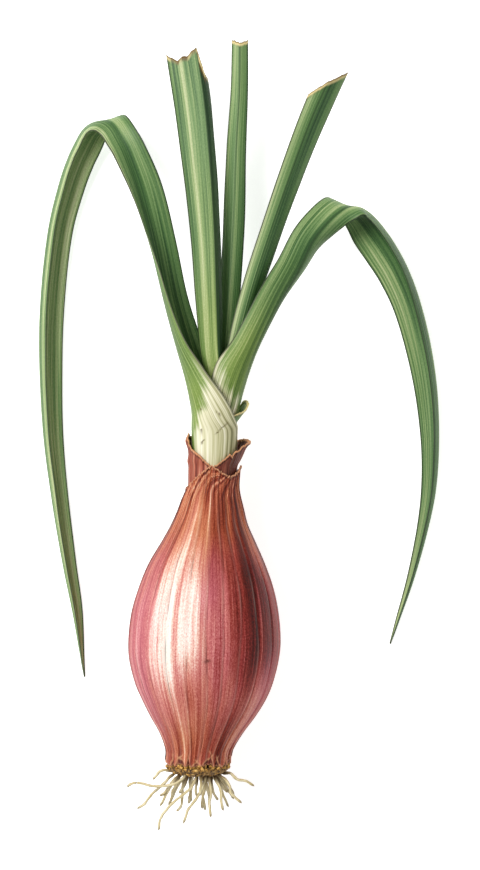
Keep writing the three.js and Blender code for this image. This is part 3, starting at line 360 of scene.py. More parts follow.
def around(x, y, z, radius, degrees):
    """Points round the long axis: 0 degrees is up, 90 is +X."""
    angle = np.radians(degrees)
    return np.stack(np.broadcast_arrays(x + radius * np.sin(angle), y, z + radius * np.cos(angle)), -1)


def unit(v):
    return v / np.linalg.norm(v, axis=-1, keepdims=True)


def grid_faces(rows, columns, closed, start=0):
    """Quads over a grid of points, closed round its columns or not."""
    r, c = np.meshgrid(np.arange(rows - 1), np.arange(columns if closed else columns - 1), indexing="ij")
    a = start + r * columns + c
    b = start + r * columns + (c + 1) % columns
    return np.stack([a, b, b + columns, a + columns], -1).reshape(-1, 4)


def make_mesh(name, points, faces, paint):
    """A smooth mesh in metres, with a named value or vector at each point for each painting."""
    mesh = bpy.data.meshes.new(name)
    mesh.from_pydata((points * MM).tolist(), [], [tuple(f) for f in faces])
    for title, values in paint.items():
        kind = "FLOAT_VECTOR" if values.ndim == 2 else "FLOAT"
        layer = mesh.attributes.new(title, kind, "POINT")
        layer.data.foreach_set("vector" if values.ndim == 2 else "value", values.astype(np.float32).ravel())
    mesh.shade_smooth()
    mesh.update()
    piece = bpy.data.objects.new(name, mesh)
    bpy.context.scene.collection.objects.link(piece)
    return piece


def enclosed_volume(points, faces):
    quads = np.array([f if len(f) == 4 else (*f, f[2]) for f in faces])
    a, b, c, d = (points[quads[:, k]] for k in range(4))
    return (np.einsum("ij,ij->i", a, np.cross(b, c)) + np.einsum("ij,ij->i", a, np.cross(c, d))).sum() / 6


def facing_out(points, faces):
    turn = 1 if enclosed_volume(points, faces) > 0 else -1
    return [tuple(f)[::turn] for f in faces]


def tube(rings, ends):
    """Points and faces through closed rings of points, with a point at each end."""
    rows, columns = rings.shape[:2]
    points = np.vstack([rings.reshape(-1, 3), ends])
    faces = grid_faces(rows, columns, True).tolist()
    start, last = rows * columns, (rows - 1) * columns
    for i in range(columns):
        after = (i + 1) % columns
        faces.append([after, i, start])
        faces.append([last + i, last + after, start + 1])
    return points, faces


def rings_piece(name, rings, paint, ends=None):
    """A piece through closed rings of points, with a point at each end or joined end to end as a wall."""
    rows, columns = rings.shape[:2]
    paint = {title: values.reshape(rows * columns, *values.shape[2:]) for title, values in paint.items()}
    if ends is None:
        points = rings.reshape(-1, 3)
        faces = grid_faces(rows + 1, columns, True) % len(points)
    else:
        points, faces = tube(rings, ends)
        nearest = [0, (rows - 1) * columns]
        paint = {title: np.concatenate([values, values[nearest]]) for title, values in paint.items()}
    return make_mesh(name, points, facing_out(points, faces), paint)


def sheet_piece(name, middle, normals, thickness, paint):
    """A thin blade: its mid-surface with half the thickness on each side, closed round its edge. Each
    painting is a pair, for the inside and the outside."""
    rows, columns = middle.shape[:2]
    half = normals * thickness[..., None] / 2
    points = np.concatenate([(middle + half).reshape(-1, 3), (middle - half).reshape(-1, 3)])
    count = rows * columns
    front = grid_faces(rows, columns, False)
    back = grid_faces(rows, columns, False, count)[:, ::-1]
    grid = np.arange(count).reshape(rows, columns)
    edge = np.concatenate([grid[0, :-1], grid[:-1, -1], grid[-1, :0:-1], grid[:0:-1, 0]])
    after = np.roll(edge, -1)
    rim = np.stack([after, edge, edge + count, after + count], -1)
    faces = facing_out(points, np.concatenate([front, back, rim]))
    both = {title: np.concatenate([side.reshape(count, *side.shape[2:]) for side in pair])
            for title, pair in paint.items()}
    return make_mesh(name, points, faces, both)


# ---------------------------------------------------------------- materials


def colour(text):
    """Linear colour of a sRGB hex value."""
    value = np.array([int(text[k:k + 2], 16) for k in (1, 3, 5)]) / 255
    linear = np.where(value <= 0.04045, value / 12.92, ((value + 0.055) / 1.055) ** 2.4)
    return (*linear, 1.0)


def add(material, kind, inputs=None, output=0, stops=None, **settings):
    """Adds one node with its settings, the stops of its ramp, and its inputs as links or values."""
    tree = material.node_tree
    node = tree.nodes.new("ShaderNode" + kind)
    for title, value in settings.items():
        setattr(node, title, value)
    if stops:
        ramp = node.color_ramp
        while len(ramp.elements) < len(stops):
            ramp.elements.new(0.5)
        for element, (place, shade) in zip(ramp.elements, stops):
            element.position = place
            element.color = colour(shade) if isinstance(shade, str) else (shade, shade, shade, 1)
    for socket, value in (inputs or {}).items():
        if isinstance(value, bpy.types.NodeSocket):
            tree.links.new(value, node.inputs[socket])
        else:
            node.inputs[socket].default_value = colour(value) if isinstance(value, str) else value
    return node.outputs[output] if node.outputs else None


def new_material(name):
    material = bpy.data.materials.new(name)
    material.use_nodes = True
    material.node_tree.nodes.clear()
    return material


def streaks(material, across, along, detail=3.0, roughness=0.55):
    """Noise in the piece's own grain: the size of one streak in millimetres, across and along the grain."""
    place = add(material, "Attribute", output="Vector", attribute_name="grain")
    count = (1 / across, 1 / across, 1 / along)
    stretched = add(material, "VectorMath", {0: place, 1: count}, operation="MULTIPLY")
    settings = {"Vector": stretched, "Scale": 1.0, "Detail": detail, "Roughness": roughness}
    return add(material, "TexNoise", settings)


def varied(material, title, layers):
    """The value painted under this name, raised and lowered by layers of noise, each with its strength."""
    value = add(material, "Attribute", output="Fac", attribute_name=title)
    for noise, strength in layers:
        centred = add(material, "Math", {0: noise, 1: 0.5}, operation="SUBTRACT")
        value = add(material, "Math", {0: centred, 1: strength, 2: value}, operation="MULTIPLY_ADD")
    return value


def coated(material, base, coats):
    """Colours laid over a base in turn, where each one is painted: name, strength, colour and blending."""
    for title, strength, shade, blend in coats:
        painted = add(material, "Attribute", output="Fac", attribute_name=title)
        share = add(material, "Math", {0: painted, 1: strength}, operation="MULTIPLY")
        base = add(material, "Mix", {0: share, 6: base, 7: shade}, 2, data_type="RGBA", blend_type=blend)
    return base


def finished(material, base, roughness, height, depth, ior, coat=0.0, shine=0.5):
    """Closes a material: its surface, with the relief of height over depth metres."""
    bump = add(material, "Bump", {"Height": height, "Distance": depth, "Strength": 1.0})
    surface = add(material, "BsdfPrincipled", {
        "Base Color": base, "Roughness": roughness, "IOR": ior, "Coat Weight": coat, "Coat Roughness": 0.3,
        "Specular IOR Level": shine, "Normal": bump})
    add(material, "OutputMaterial", {"Surface": surface})
    return material


def dry_outer_skin():
    """Dried onion scale: a thin cellulose film, grown on and stretched over the ribs. It is tight and
    lightly polished, copper at the neck and rose on the belly, and its veins show as fine long streaks."""
    skin = new_material("dry_outer_skin")
    broad = streaks(skin, 2.381, 62.5)
    fine = streaks(skin, 0.6667, 33.33, detail=4.0)
    hair = streaks(skin, 0.2381, 14.29, detail=2.0)
    speckle = streaks(skin, 0.3333, 0.5263, detail=4.0, roughness=0.7)
    wash = streaks(skin, 6.25, 20.0, detail=2.0)
    veined = add(skin, "Attribute", output="Fac", attribute_name="veined")
    # The painted tone holds the skin's lightness with painted highlights and painted shade.
    tone = varied(skin, "tone", ((broad, veined), (fine, 0.5), (hair, 0.3), (speckle, 0.75)))
    rose = add(skin, "ValToRGB", {"Fac": tone}, stops=[
        (0.0, "#2E0505"), (0.22, "#661412"), (0.4, "#983839"), (0.56, "#BC6264"), (0.72, "#D78A86"),
        (0.86, "#EFC4B8"), (1.0, "#F8F0E8")])
    copper = add(skin, "ValToRGB", {"Fac": tone}, stops=[
        (0.0, "#2C0904"), (0.22, "#601D0E"), (0.4, "#933F25"), (0.56, "#B86544"), (0.72, "#D28C66"),
        (0.86, "#E5B793"), (1.0, "#F1DFCA")])
    warmth = varied(skin, "warm", [(wash, 1.1)])
    base = add(skin, "Mix", {0: warmth, 6: rose, 7: copper}, 2, data_type="RGBA")
    # The flanks are mauve, the ribs' crests pale, the grooves and the notches between the base scales dark
    # with painted shade, and the torn edges bleached
    worn_and_shaded = coated(skin, base, [
        ("flank", 0.26, "#AE5474", "MIX"), ("ridge", 0.22, "#E8AD9B", "MIX"),
        ("groove", 0.7, "#3E1514", "MIX"), ("scar", 1.0, "#3C1410", "MIX"),
        ("rim", 0.85, "#DDA27A", "MIX"), ("lining", 1.0, "#5B2A1E", "MIX")])
    rough = add(skin, "Math", {0: speckle, 1: 0.2, 2: 0.36}, operation="MULTIPLY_ADD")
    relief = add(skin, "Math", {0: speckle, 1: 0.5, 2: fine}, operation="MULTIPLY_ADD")
    return finished(skin, worn_and_shaded, rough, relief, 0.00014, 1.47, coat=0.02, shine=0.16)


def papery_inner_skin():
    """Loose dry scale: the same film with nothing under it. It is brittle, dull and browner, and its torn
    edge is bleached."""
    skin = new_material("papery_inner_skin")
    broad = streaks(skin, 1.4286, 33.33)
    fine = streaks(skin, 0.4762, 16.67)
    base = add(skin, "ValToRGB", {"Fac": broad}, stops=[
        (0.25, "#5E261B"), (0.42, "#8E4230"), (0.55, "#B4644D"), (0.72, "#DBA182")])
    lines = add(skin, "ValToRGB", {"Fac": fine}, stops=[(0.34, 0.75), (0.46, 0.0)])
    lined = add(skin, "Mix", {0: lines, 6: base, 7: "#4A2016"}, 2, data_type="RGBA")
    # The brown coat is the skin's browner right side and painted shade under its rolled rim.
    worn_and_shaded = coated(skin, lined, [
        ("brown_and_shade", 1.0, "#5A2E17", "MULTIPLY"), ("lining", 0.85, "#4B2413", "MIX"),
        ("rim", 0.85, "#D79A6E", "MIX")])
    return finished(skin, worn_and_shaded, 0.55, fine, 0.0002, 1.5, shine=0.25)


def fresh_leaf():
    """Fresh allium leaf: a smooth blade with parallel veins under a thin wax, so it has a soft satin sheen.
    The sheath at its foot never saw light, and is cream with olive veins."""
    leaf = new_material("fresh_leaf")
    broad = streaks(leaf, 1.8182, 125.0)
    fine = streaks(leaf, 0.5263, 62.5, detail=4.0)
    hair = streaks(leaf, 0.2174, 33.33, detail=2.0)
    mottle = streaks(leaf, 0.25, 0.625, detail=4.0)
    # The painted tone holds the greens with painted shade and painted light across the folds.
    tone = varied(leaf, "tone", ((broad, 0.45), (fine, 0.95), (hair, 0.6), (mottle, 0.4)))
    green = add(leaf, "ValToRGB", {"Fac": tone}, stops=[
        (0.0, "#1A3619"), (0.2, "#2F522A"), (0.42, "#4F723F"), (0.6, "#719057"), (0.8, "#9DB077"),
        (1.0, "#C8CE9E")])
    lime = add(leaf, "ValToRGB", {"Fac": tone}, stops=[
        (0.0, "#33481A"), (0.3, "#55702C"), (0.55, "#7B9244"), (0.8, "#A9B66F"), (1.0, "#D9DEA8")])
    young = add(leaf, "Attribute", output="Fac", attribute_name="yellow")
    blade = add(leaf, "Mix", {0: young, 6: green, 7: lime}, 2, data_type="RGBA")
    vein = varied(leaf, "sheath_tone", ((broad, 0.6), (fine, 1.5), (hair, 1.0)))
    cream = add(leaf, "ValToRGB", {"Fac": vein}, stops=[
        (0.1, "#5E5C34"), (0.3, "#8F8D62"), (0.5, "#C2BE93"), (0.68, "#DEDAB8"), (0.9, "#F1EDD6")])
    spread = varied(leaf, "cream", ((broad, 0.7), (fine, 0.9)))
    bleached = add(leaf, "ValToRGB", {"Fac": spread}, stops=[(0.35, 0.0), (0.65, 1.0)])
    grown = add(leaf, "Mix", {0: bleached, 6: blade, 7: cream}, 2, data_type="RGBA")
    # The dark lines at the cuts, and painted shade under the sheath flap's rolled rim.
    worn_and_shaded = coated(leaf, grown, [
        ("nick", 1.0, "#5A4A1C", "MIX"), ("edge", 0.85, "#24321A", "MIX"), ("cut", 1.0, "#E9D396", "MIX"),
        ("cut_line_and_rim_shade", 1.0, "#654A22", "MIX")])
    rough = add(leaf, "Math", {0: fine, 1: 0.2, 2: 0.36}, operation="MULTIPLY_ADD")
    return finished(leaf, worn_and_shaded, rough, fine, 0.00012, 1.45, shine=0.3)


def cork_and_root():
    """Root and basal plate: soft pale root skin, matt and faintly lined, on a plate of dark dry cork with
    gold-brown stubs, where old roots have broken off."""
    root = new_material("cork_and_root")
    line = streaks(root, 0.4167, 4.0)
    mottle = streaks(root, 0.9091, 1.25)
    straw = add(root, "ValToRGB", {"Fac": line}, stops=[
        (0.25, "#9C8657"), (0.42, "#CDBA86"), (0.55, "#E6D8AE"), (0.75, "#F4ECCB")])
    # Painted shade on the roots' lower sides and painted shadow near the plate, with their browner tips.
    shaded = coated(root, straw, [("brown_and_shade", 1.0, "#66502C", "MULTIPLY")])
    cork = add(root, "ValToRGB", {"Fac": mottle}, stops=[
        (0.3, "#2E1E0E"), (0.42, "#6B4A1E"), (0.52, "#C48D3C"), (0.68, "#EFC473")])
    # Painted shade in the plate's hollows and at the feet of the stubs.
    corked_and_shaded = coated(root, shaded, [("cork", 1.0, cork, "MIX"), ("hollow_shade", 1.0, "#24170B", "MIX")])
    return finished(root, corked_and_shaded, 0.72, mottle, 0.00025, 1.45)


# ---------------------------------------------------------------- bulb

# Grooves between the ribs, in degrees from the top towards +X
RIB_LINES = [
    -64, -48, -30, -13, 3, 16, 30, 46, 64, 80, 97, 113, 131, 148, 163, 180, 197, 214, 230, 248, 264, 280,
]
FULL_RIB_RADIUS = 15.0      # where the bulb is narrower than this, its ribs are shallower
RIB_BULGE = 0.16
GROOVE_DEPTH = 0.22
GROOVE_WIDTH = 0.45
FOLD_DEPTH = 0.20           # lengthwise folds near the neck and the base
FOLD_LIMIT = 0.12           # the most that a fold stands out, and the skin is set back by as much
SCALE_COUNT = 20            # pointed scales round the torn edge at the base
SCALE_HEIGHT = 2.5
LEFT_FLAP = -88             # the middle of the side where the torn rim leans in, in degrees
VEIN_LEAN = 44              # how far the veins lean over under the rim's tongue, in degrees
GRAIN_RADIUS = 23.0
SCAR = (3.0, -9.0)          # the one dark nick on the belly: degrees and y
BULB_SIDES = 480
BULB_ROWS = 190
RECESS_RINGS = 2
LINING_RINGS = 5

# Lightness of the outer skin, 0 dark to 1 pale: y and the level there
SKIN_LEVEL = [
    (-43, 0.44), (-30, 0.52), (-15, 0.58), (0, 0.6), (12, 0.58), (22, 0.5), (32, 0.44), (44, 0.42),
]
# Painted highlights on the left and painted shade over the right third: broad stripes that lighten or darken
# it, with a few narrow lines. Middle and half width in degrees from the top towards +X, the y where they start
# and end, and how much they add
SKIN_LIGHT_AND_SHADE_STRIPES = [
    (-32, 11, -30, 34, 0.42),
    (-14, 8, -20, 28, 0.34),
    (-24, 1.5, -12, 16, -0.1),
    (-4, 3, -16, 16, 0.12),
    (-22, 14, -46, -18, 0.14),
    (-20, 12, 14, 42, 0.22),
    (24, 9, -24, 26, -0.14),
    (43, 12, -28, 36, -0.42),
    (49, 1.3, -18, 20, 0.2),
    (62, 13, -22, 26, -0.36),
    (36, 16, -46, -20, -0.12),
    (46, 14, 20, 46, -0.12),
]
# How copper it is, 0 rose to 1 copper, in the same two parts
SKIN_COPPER_LEVEL = [(-43, 0.8), (-32, 0.7), (-22, 0.4), (-12, 0.15), (10, 0.12), (20, 0.45), (30, 1.0)]
SKIN_COPPER_STRIPES = [
    (-64, 18, -38, 14, -0.25),
    (42, 14, -20, 24, 0.22),
]


def rib_values(degrees, y, radius):
    """Distance in millimetres from the nearest groove, and the bulge between grooves from 0 to 1."""
    lines = np.array(RIB_LINES, float)
    wander = np.stack([0.9 * drift(y, (34, 61), 100 + k) for k in range(len(lines))], 0)
    offset = np.mod(degrees[None] - lines[:, None, None] - wander + 180, 360) - 180
    nearest = np.take_along_axis(offset, np.abs(offset).argmin(0)[None], 0)[0]
    before, after = (np.abs(np.where(side, offset, np.inf)).min(0) for side in (offset > 0, offset <= 0))
    gap = before + after
    distance = np.radians(nearest) * radius
    bulge = np.sin(np.pi * np.clip(np.abs(nearest) / gap, 0, 1)) ** 0.7
    return distance, bulge


def base_scales(degrees):
    """The torn edge at the base: its y, the y of its scales' outline and of the stretch that crosses the
    next scale, and the place across each scale, 0 at its tip and 1 at its side."""
    place = degrees / 360 * SCALE_COUNT + 0.22 * ripple(degrees, (5, 9, 14), 2)
    across = np.abs(2 * (np.mod(place, 1) - 0.5))
    tall = 1 + 0.28 * ripple(degrees, (6, 11), 5)
    droop = BASE_DROOP * np.cos(np.radians(degrees))
    tips = BASE_EDGE_Y - droop - 0.25 + 0.25 * ripple(degrees, (4, 7), 12)
    edge = tips + 0.8 * tall * across**1.5 + 0.1 * ripple(degrees, (29, 47), 3)
    outline = tips + 0.2 + SCALE_HEIGHT * tall * across**1.25
    crossing = tips + 0.2 + SCALE_HEIGHT * tall * (2 - across) ** 1.25
    return edge, outline, crossing, across


def bulb_radius(degrees, y, rim, edge, outline):
    """Radius of the outer skin, swollen between its grooves and torn at both ends, and the distance to a
    groove."""
    radius = smooth(BULB, y, 1)
    distance, bulge = rib_values(degrees, y, radius)
    lean = round_ring(OUTER_LEAN, degrees) * np.clip((y - MOUTH_Y) / (rim - MOUTH_Y), 0, 1) ** 2
    ribs = RIB_BULGE * (bulge - 1) - GROOVE_DEPTH * bell(distance, 0, GROOVE_WIDTH)
    near_ends = 1 - np.minimum(step(-42, -30, y), step(44, 24, y))
    folds = FOLD_DEPTH * near_ends * ripple(degrees + 3 * near_ends, (31, 44, 58, 67), 4)
    outer = radius + lean + np.minimum(1, radius / FULL_RIB_RADIUS) * ribs
    outer += np.minimum(folds, FOLD_LIMIT) - FOLD_LIMIT
    outer += 0.25 * step(edge + 2.6, edge, y) - 0.35 * step(outline + 0.15, outline - 0.25, y)
    left = bell(from_top(degrees), LEFT_FLAP, 36)
    outer += 0.3 * bell(y, rim - 0.35, 0.35) * (1 - left) - 0.4 * step(rim - 3.5, rim, y) * left
    return outer, distance


def bulb_paint(degrees, y, rim, scales, distance):
    """Lightness with painted highlights and painted shade, warmth and wear of the outer skin, painted on its
    surface.
    """
    edge, outline, crossing, across = scales
    facing = from_top(degrees)
    right_side = 1 - bell(facing, LEFT_FLAP, 34)
    mauve = bell(facing, -60, 16) + 0.8 * bell(facing, 62, 10) * step(0, -16, y)
    mauve += 0.7 * bell(facing, 6, 9) * step(-4, 12, y)
    # Painted shade: a dark band along both sides, where the skin turns away from above.
    painted_side_shade = bell(facing, 90, 9) + bell(facing, -90, 9)
    # Painted shade under the rolled rim, except on the left where the rim leans in.
    shade_under_rim = step(rim - 1.5, rim - 0.7, y) * right_side
    # Strength of the dark lines in the grooves, broken up along the bulb: painted shade in the creases.
    worn_and_shaded = np.clip(0.3 + 0.7 * drift(y + 1.7 * degrees, (13, 29, 71), 6), 0, 1)
    # Painted shade in the notches between the base scales and in the gaps beside them.
    notches = step(outline, outline - 0.5, y) + 0.7 * step(0.75, 1.0, across) * step(edge + 5, edge + 2, y)
    crossed = bell(y, crossing, 0.26) * step(0.6, 0.8, across)
    torn_lines = 0.9 * np.maximum(bell(y, outline, 0.3), crossed)
    low_rim = 0.55 * step(edge + 0.4, edge + 0.15, y)
    high_rim = step(rim - 0.6, rim - 0.25, y) * right_side
    return {
        # The tone carries painted highlights and painted shade: the stripes, the bands along the sides and
        # under the rim.
        "tone": striped(SKIN_LEVEL, SKIN_LIGHT_AND_SHADE_STRIPES, y, facing) - 0.5 * painted_side_shade - 0.16 * shade_under_rim,
        "warm": striped(SKIN_COPPER_LEVEL, SKIN_COPPER_STRIPES, y, facing),
        "veined": 0.75 + 1.1 * step(24, 42, y) + 0.6 * step(-26, -38, y),
        "flank": np.clip(mauve, 0, 1) * step(-38, -24, y) * step(30, 16, y),
        "groove": np.maximum(bell(distance, 0, 0.16) * worn_and_shaded, np.clip(notches, 0, 1)),
        "ridge": bell(distance, -0.5, 0.26) * (0.55 + 0.45 * drift(y, (17, 23), 7)),
        "rim": np.maximum(high_rim, np.maximum(low_rim, torn_lines)),
        "lining": np.zeros_like(y),
        "scar": bell(facing, SCAR[0], 2.282) * bell(y, SCAR[1], 0.4108),
    }


def ring_on_bulb(y, x, radius, degrees):
    return around(x, y, axis_height(y), radius, degrees)


def bulb_piece():
    """The bulb as one closed skin: the plate's recess, the ribbed outside, the wall's inside, the socket."""
    degrees = np.arange(BULB_SIDES) * 360 / BULB_SIDES
    rim = round_ring(OUTER_RIM, degrees) + 0.22 * ripple(degrees, (37, 53, 71, 97), 1)
    scales = base_scales(degrees)
    edge, outline = scales[:2]
    share = np.linspace(0, 1, BULB_ROWS + 1)
    share = share - 0.075 * np.sin(2 * np.pi * share)
    y = edge + (rim - edge) * share[:, None]
    over = np.broadcast_to(degrees, y.shape)
    outer, distance = bulb_radius(over, y, rim, edge, outline)
    shell = ring_on_bulb(y, smooth(BULB, y, 2), outer, over)
    shell[..., 2] = np.maximum(shell[..., 2], 0)

    wall = np.array([0.3, 0.55, SKIN_WALL, SKIN_WALL])
    inner_y = np.stack([rim - 0.05, rim - 0.8, (rim + MOUTH_Y) / 2, np.full_like(rim, MOUTH_Y)])
    lean = round_ring(OUTER_LEAN, degrees) * np.clip((inner_y - MOUTH_Y) / (rim - MOUTH_Y), 0, 1) ** 2
    inner = smooth(BULB, inner_y, 1) + lean - wall[:, None]
    inside = ring_on_bulb(inner_y, smooth(BULB, inner_y, 2), inner, degrees[None])
    recess = np.stack([
        ring_on_bulb(RECESS_FLOOR_Y, PLATE_X, RECESS_RADIUS, degrees),
        around(PLATE_X, edge + 0.2, axis_height(BASE_EDGE_Y), RECESS_MOUTH_RADIUS, degrees)])
    floor_x = smooth(BULB, SOCKET_FLOOR_Y, 2)
    floor = ring_on_bulb(SOCKET_FLOOR_Y, floor_x, SOCKET_FLOOR_RADIUS, degrees)
    rings = np.concatenate([recess, shell, inside, floor[None]])

    # The veins lean over to the right under the tongue of the torn rim
    lean_share = np.clip(1 - (rim - y) / 8, 0, 1) ** 2 * bell(from_top(over), 4, 42)
    angle = np.radians(over - VEIN_LEAN * lean_share)
    grain = np.stack([rings[..., 0], rings[..., 2], rings[..., 1]], -1)
    veins = [GRAIN_RADIUS * np.sin(angle), GRAIN_RADIUS * np.cos(angle), y]
    grain[RECESS_RINGS:-LINING_RINGS] = np.stack(veins, -1)
    whole = {"grain": grain}
    for title, values in bulb_paint(over, y, rim, scales, distance).items():
        below = np.full((RECESS_RINGS, BULB_SIDES), float(title == "lining"))
        above = np.full((LINING_RINGS, BULB_SIDES), float(title == "lining"))
        above[0] = title == "rim"
        whole[title] = np.concatenate([below, values, above])
    ends = np.array([[smooth(BULB, at, 2), at, axis_height(at)] for at in (RECESS_FLOOR_Y, SOCKET_FLOOR_Y)])
    return rings_piece("bulb_skin", rings, whole, ends)


# ---------------------------------------------------------------- thin rings round the neck


RING_SIDES = 300
RING_ROWS = 56


def neck_ring(levels, rim_table, lean_table, height, wall, folds, curl, seed, torn, swell=None):
    """A thin torn skin or sheath round the neck, open at both ends, with a curled and rolled rim."""
    degrees = np.arange(RING_SIDES) * 360 / RING_SIDES
    facing = from_top(degrees)
    share = np.linspace(0, 1, RING_ROWS + 1)[:, None]
    bottom = levels[0][0]
    rim = round_ring(rim_table, degrees) + round_ring(torn, degrees)
    rim = rim + 0.16 * ripple(degrees, (41, 67, 83), seed)
    y = bottom + (rim - bottom) * share
    curled = round_ring(curl, degrees) * step(rim - 2.2, rim, y) ** 2
    pleat = folds * ripple(degrees + 0 * y, (17, 26, 35), seed + 1) * (0.35 + 0.65 * share)
    radius = smooth(levels, y, 1) + round_ring(lean_table, degrees) * share**4 + pleat + curled
    if swell:
        radius += swell(facing, y)
    thickness = wall * (1 - 0.5 * step(rim - 1.5, rim, y)) + 0.32 * bell(y, rim - 0.3, 0.3)

    def side(offset):
        return around(smooth(levels, y, 2), y, height(y), radius + offset * thickness / 2, degrees[None])

    rings = np.concatenate([side(1), side(-1)[::-1]])
    both = np.concatenate([y, y[::-1]])
    near_rim = np.concatenate([rim - y, (rim - y)[::-1]])
    angle = np.radians(degrees)[None] + 0 * both
    paint = {
        "grain": np.stack([8 * np.sin(angle), 8 * np.cos(angle), both], -1),
        "rim": step(0.75, 0.3, near_rim),
        "lining": np.concatenate([np.zeros_like(y), np.ones_like(y)]),
    }
    return rings, paint, both, facing, near_rim


def inner_swell(facing, y):
    """The inner skin stands out on the left: over the outer skin's rim, and below its own."""
    over_rim = 0.75 * bell(facing, -82, 40) * step(40, 42.5, y) * step(52, 49, y)
    return over_rim + 0.6 * bell(facing, -94, 36) * bell(y, 55.6, 1.6)


def inner_skin_piece():
    curl = [
        (-125, 0), (-96, -0.5), (-76, -0.3), (-60, 0.1), (45, 0), (58, 0.5), (74, 0.9), (88, 0.5), (112, 0),
        (200, 0),
    ]
    torn = [(44, 0), (52, 0.3), (57, -0.2), (64, 0.6), (70, 0.3), (76, 0.6), (84, 0.1), (95, 0)]
    rings, paint, _, facing, near_rim = neck_ring(
        INNER_SKIN, INNER_RIM, INNER_LEAN, axis_height, wall=0.4, folds=0.10, curl=curl, seed=21, torn=torn,
        swell=inner_swell)
    # Painted shade in a band under the rolled rim; the skin is also browner on its right side.
    shade_under_rim = step(0.4, 0.6, near_rim) * step(1.3, 0.8, near_rim)
    paint["brown_and_shade"] = np.clip(0.85 * bell(facing, 52, 34) + 0.7 * shade_under_rim, 0, 1)
    return rings_piece("inner_skin_torn", rings, paint)


def flat_height(y):
    return FLAP_HEIGHT + 0 * y


def sheath_flap_piece():
    curl = [(-60, 0), (40, 0), (74, 0.3), (92, 0.3), (110, -0.1), (150, 0)]
    torn = [(0, 0), (40, 0.2), (70, -0.1), (110, 0)]
    rings, paint, y, _, near_rim = neck_ring(
        FLAP, FLAP_RIM, FLAP_LEAN, flat_height, wall=0.45, folds=0.03, curl=curl, seed=31, torn=torn)
    lining = paint.pop("lining")
    rim = paint.pop("rim")
    paint.update({
        "tone": 0.42 + 0.2 * lining + 0.1 * step(60, 66, y),
        "cream": 0.25 * lining,
        "yellow": np.full_like(y, 0.35),
        "edge": np.zeros_like(y),
        "nick": np.zeros_like(y),
        "sheath_tone": np.full_like(y, 0.45),
        "cut": 0.85 * rim,
        # A dark line under the rolled rim: painted shade.
        "cut_line_and_rim_shade": 0.7 * step(0.55, 0.8, near_rim) * step(1.1, 0.85, near_rim),
    })
    return rings_piece("sheath_flap_green", rings, paint)


# ---------------------------------------------------------------- leaves


CURVE_STEPS = 28            # steps from the keel to a rim when its curve is added up
BLADE_HALF_WIDTH = 8.5      # the veins are as far apart as on a flat blade of this half width
SHEATH_HALF_WIDTH = 18.0
LEAF_WALL = 0.46
OUTSIDE_GRAIN = (0, 41, 0)  # the outside has its veins elsewhere in the noise than the inside


def ends_at(end, shares):
    return np.ones_like(shares) if end is None else np.interp(shares, *zip(*end))


def leaf_surface(stations, rows, half, end=None):
    """Mid-surface of a leaf, its normals, and the place of its points: share across, millimetres along,
    station and width."""
    stations = np.asarray(stations, float)
    shares = np.linspace(-1, 1, 2 * half + 1)
    ends = ends_at(end, shares)
    t = np.linspace(0, 1, rows + 1)[:, None] * ends
    keel = catmull(stations[:, :3], t)
    tiny = 1e-4
    along = unit(catmull(stations[:, :3], t + tiny) - catmull(stations[:, :3], t - tiny))
    facing = catmull(stations[:, 3:6], t)
    up = unit(facing - along * (facing * along).sum(-1, keepdims=True))
    side = np.cross(along, up)
    halves = np.moveaxis(catmull(stations[:, 6:], t), -1, 0)
    left_width, left_turn, right_width, right_turn, crease = halves
    width = np.where(shares < 0, left_width, right_width)
    turn = np.radians(np.where(shares < 0, left_turn, right_turn))

    def tilt(u):
        sharp = (1 - np.exp(-CREASE_SHARPNESS * u)) / (1 - np.exp(-CREASE_SHARPNESS))
        return turn * ((1 - crease) * u + crease * sharp)

    across, rise = np.zeros_like(width), np.zeros_like(width)
    for k in range(CURVE_STEPS):
        u = np.abs(shares) * (k + 0.5) / CURVE_STEPS
        across += np.cos(tilt(u)) * np.abs(shares) * width / CURVE_STEPS
        rise += np.sin(tilt(u)) * np.abs(shares) * width / CURVE_STEPS
    hand = np.sign(shares)[:, None]
    middle = keel + side * hand * across[..., None] + up * rise[..., None]
    angle = tilt(np.abs(shares))[..., None]
    normals = up * np.cos(angle) - side * hand * np.sin(angle)
    gaps = np.linalg.norm(np.diff(keel[:, half], axis=0), axis=1)
    length = np.concatenate([[0], np.cumsum(gaps)])
    return middle, normals, shares, length, t * (len(stations) - 1), width


def worn_nicks(marks, over, along):
    """Short nicks along lines, each from one place to another: share across, and millimetres along."""
    worn_and_shaded = np.zeros((len(along), len(over)))
    for (share, start), (next_share, end) in marks:
        run, rise = (next_share - share) * SHEATH_HALF_WIDTH, end - start
        right, up = (over - share) * SHEATH_HALF_WIDTH, along[:, None] - start
        at = np.clip((right * run + up * rise) / (run**2 + rise**2), 0, 1)
        worn_and_shaded = np.maximum(worn_and_shaded, np.exp(-((right - at * run) ** 2 + (up - at * rise) ** 2) / 0.13**2))
    return worn_and_shaded


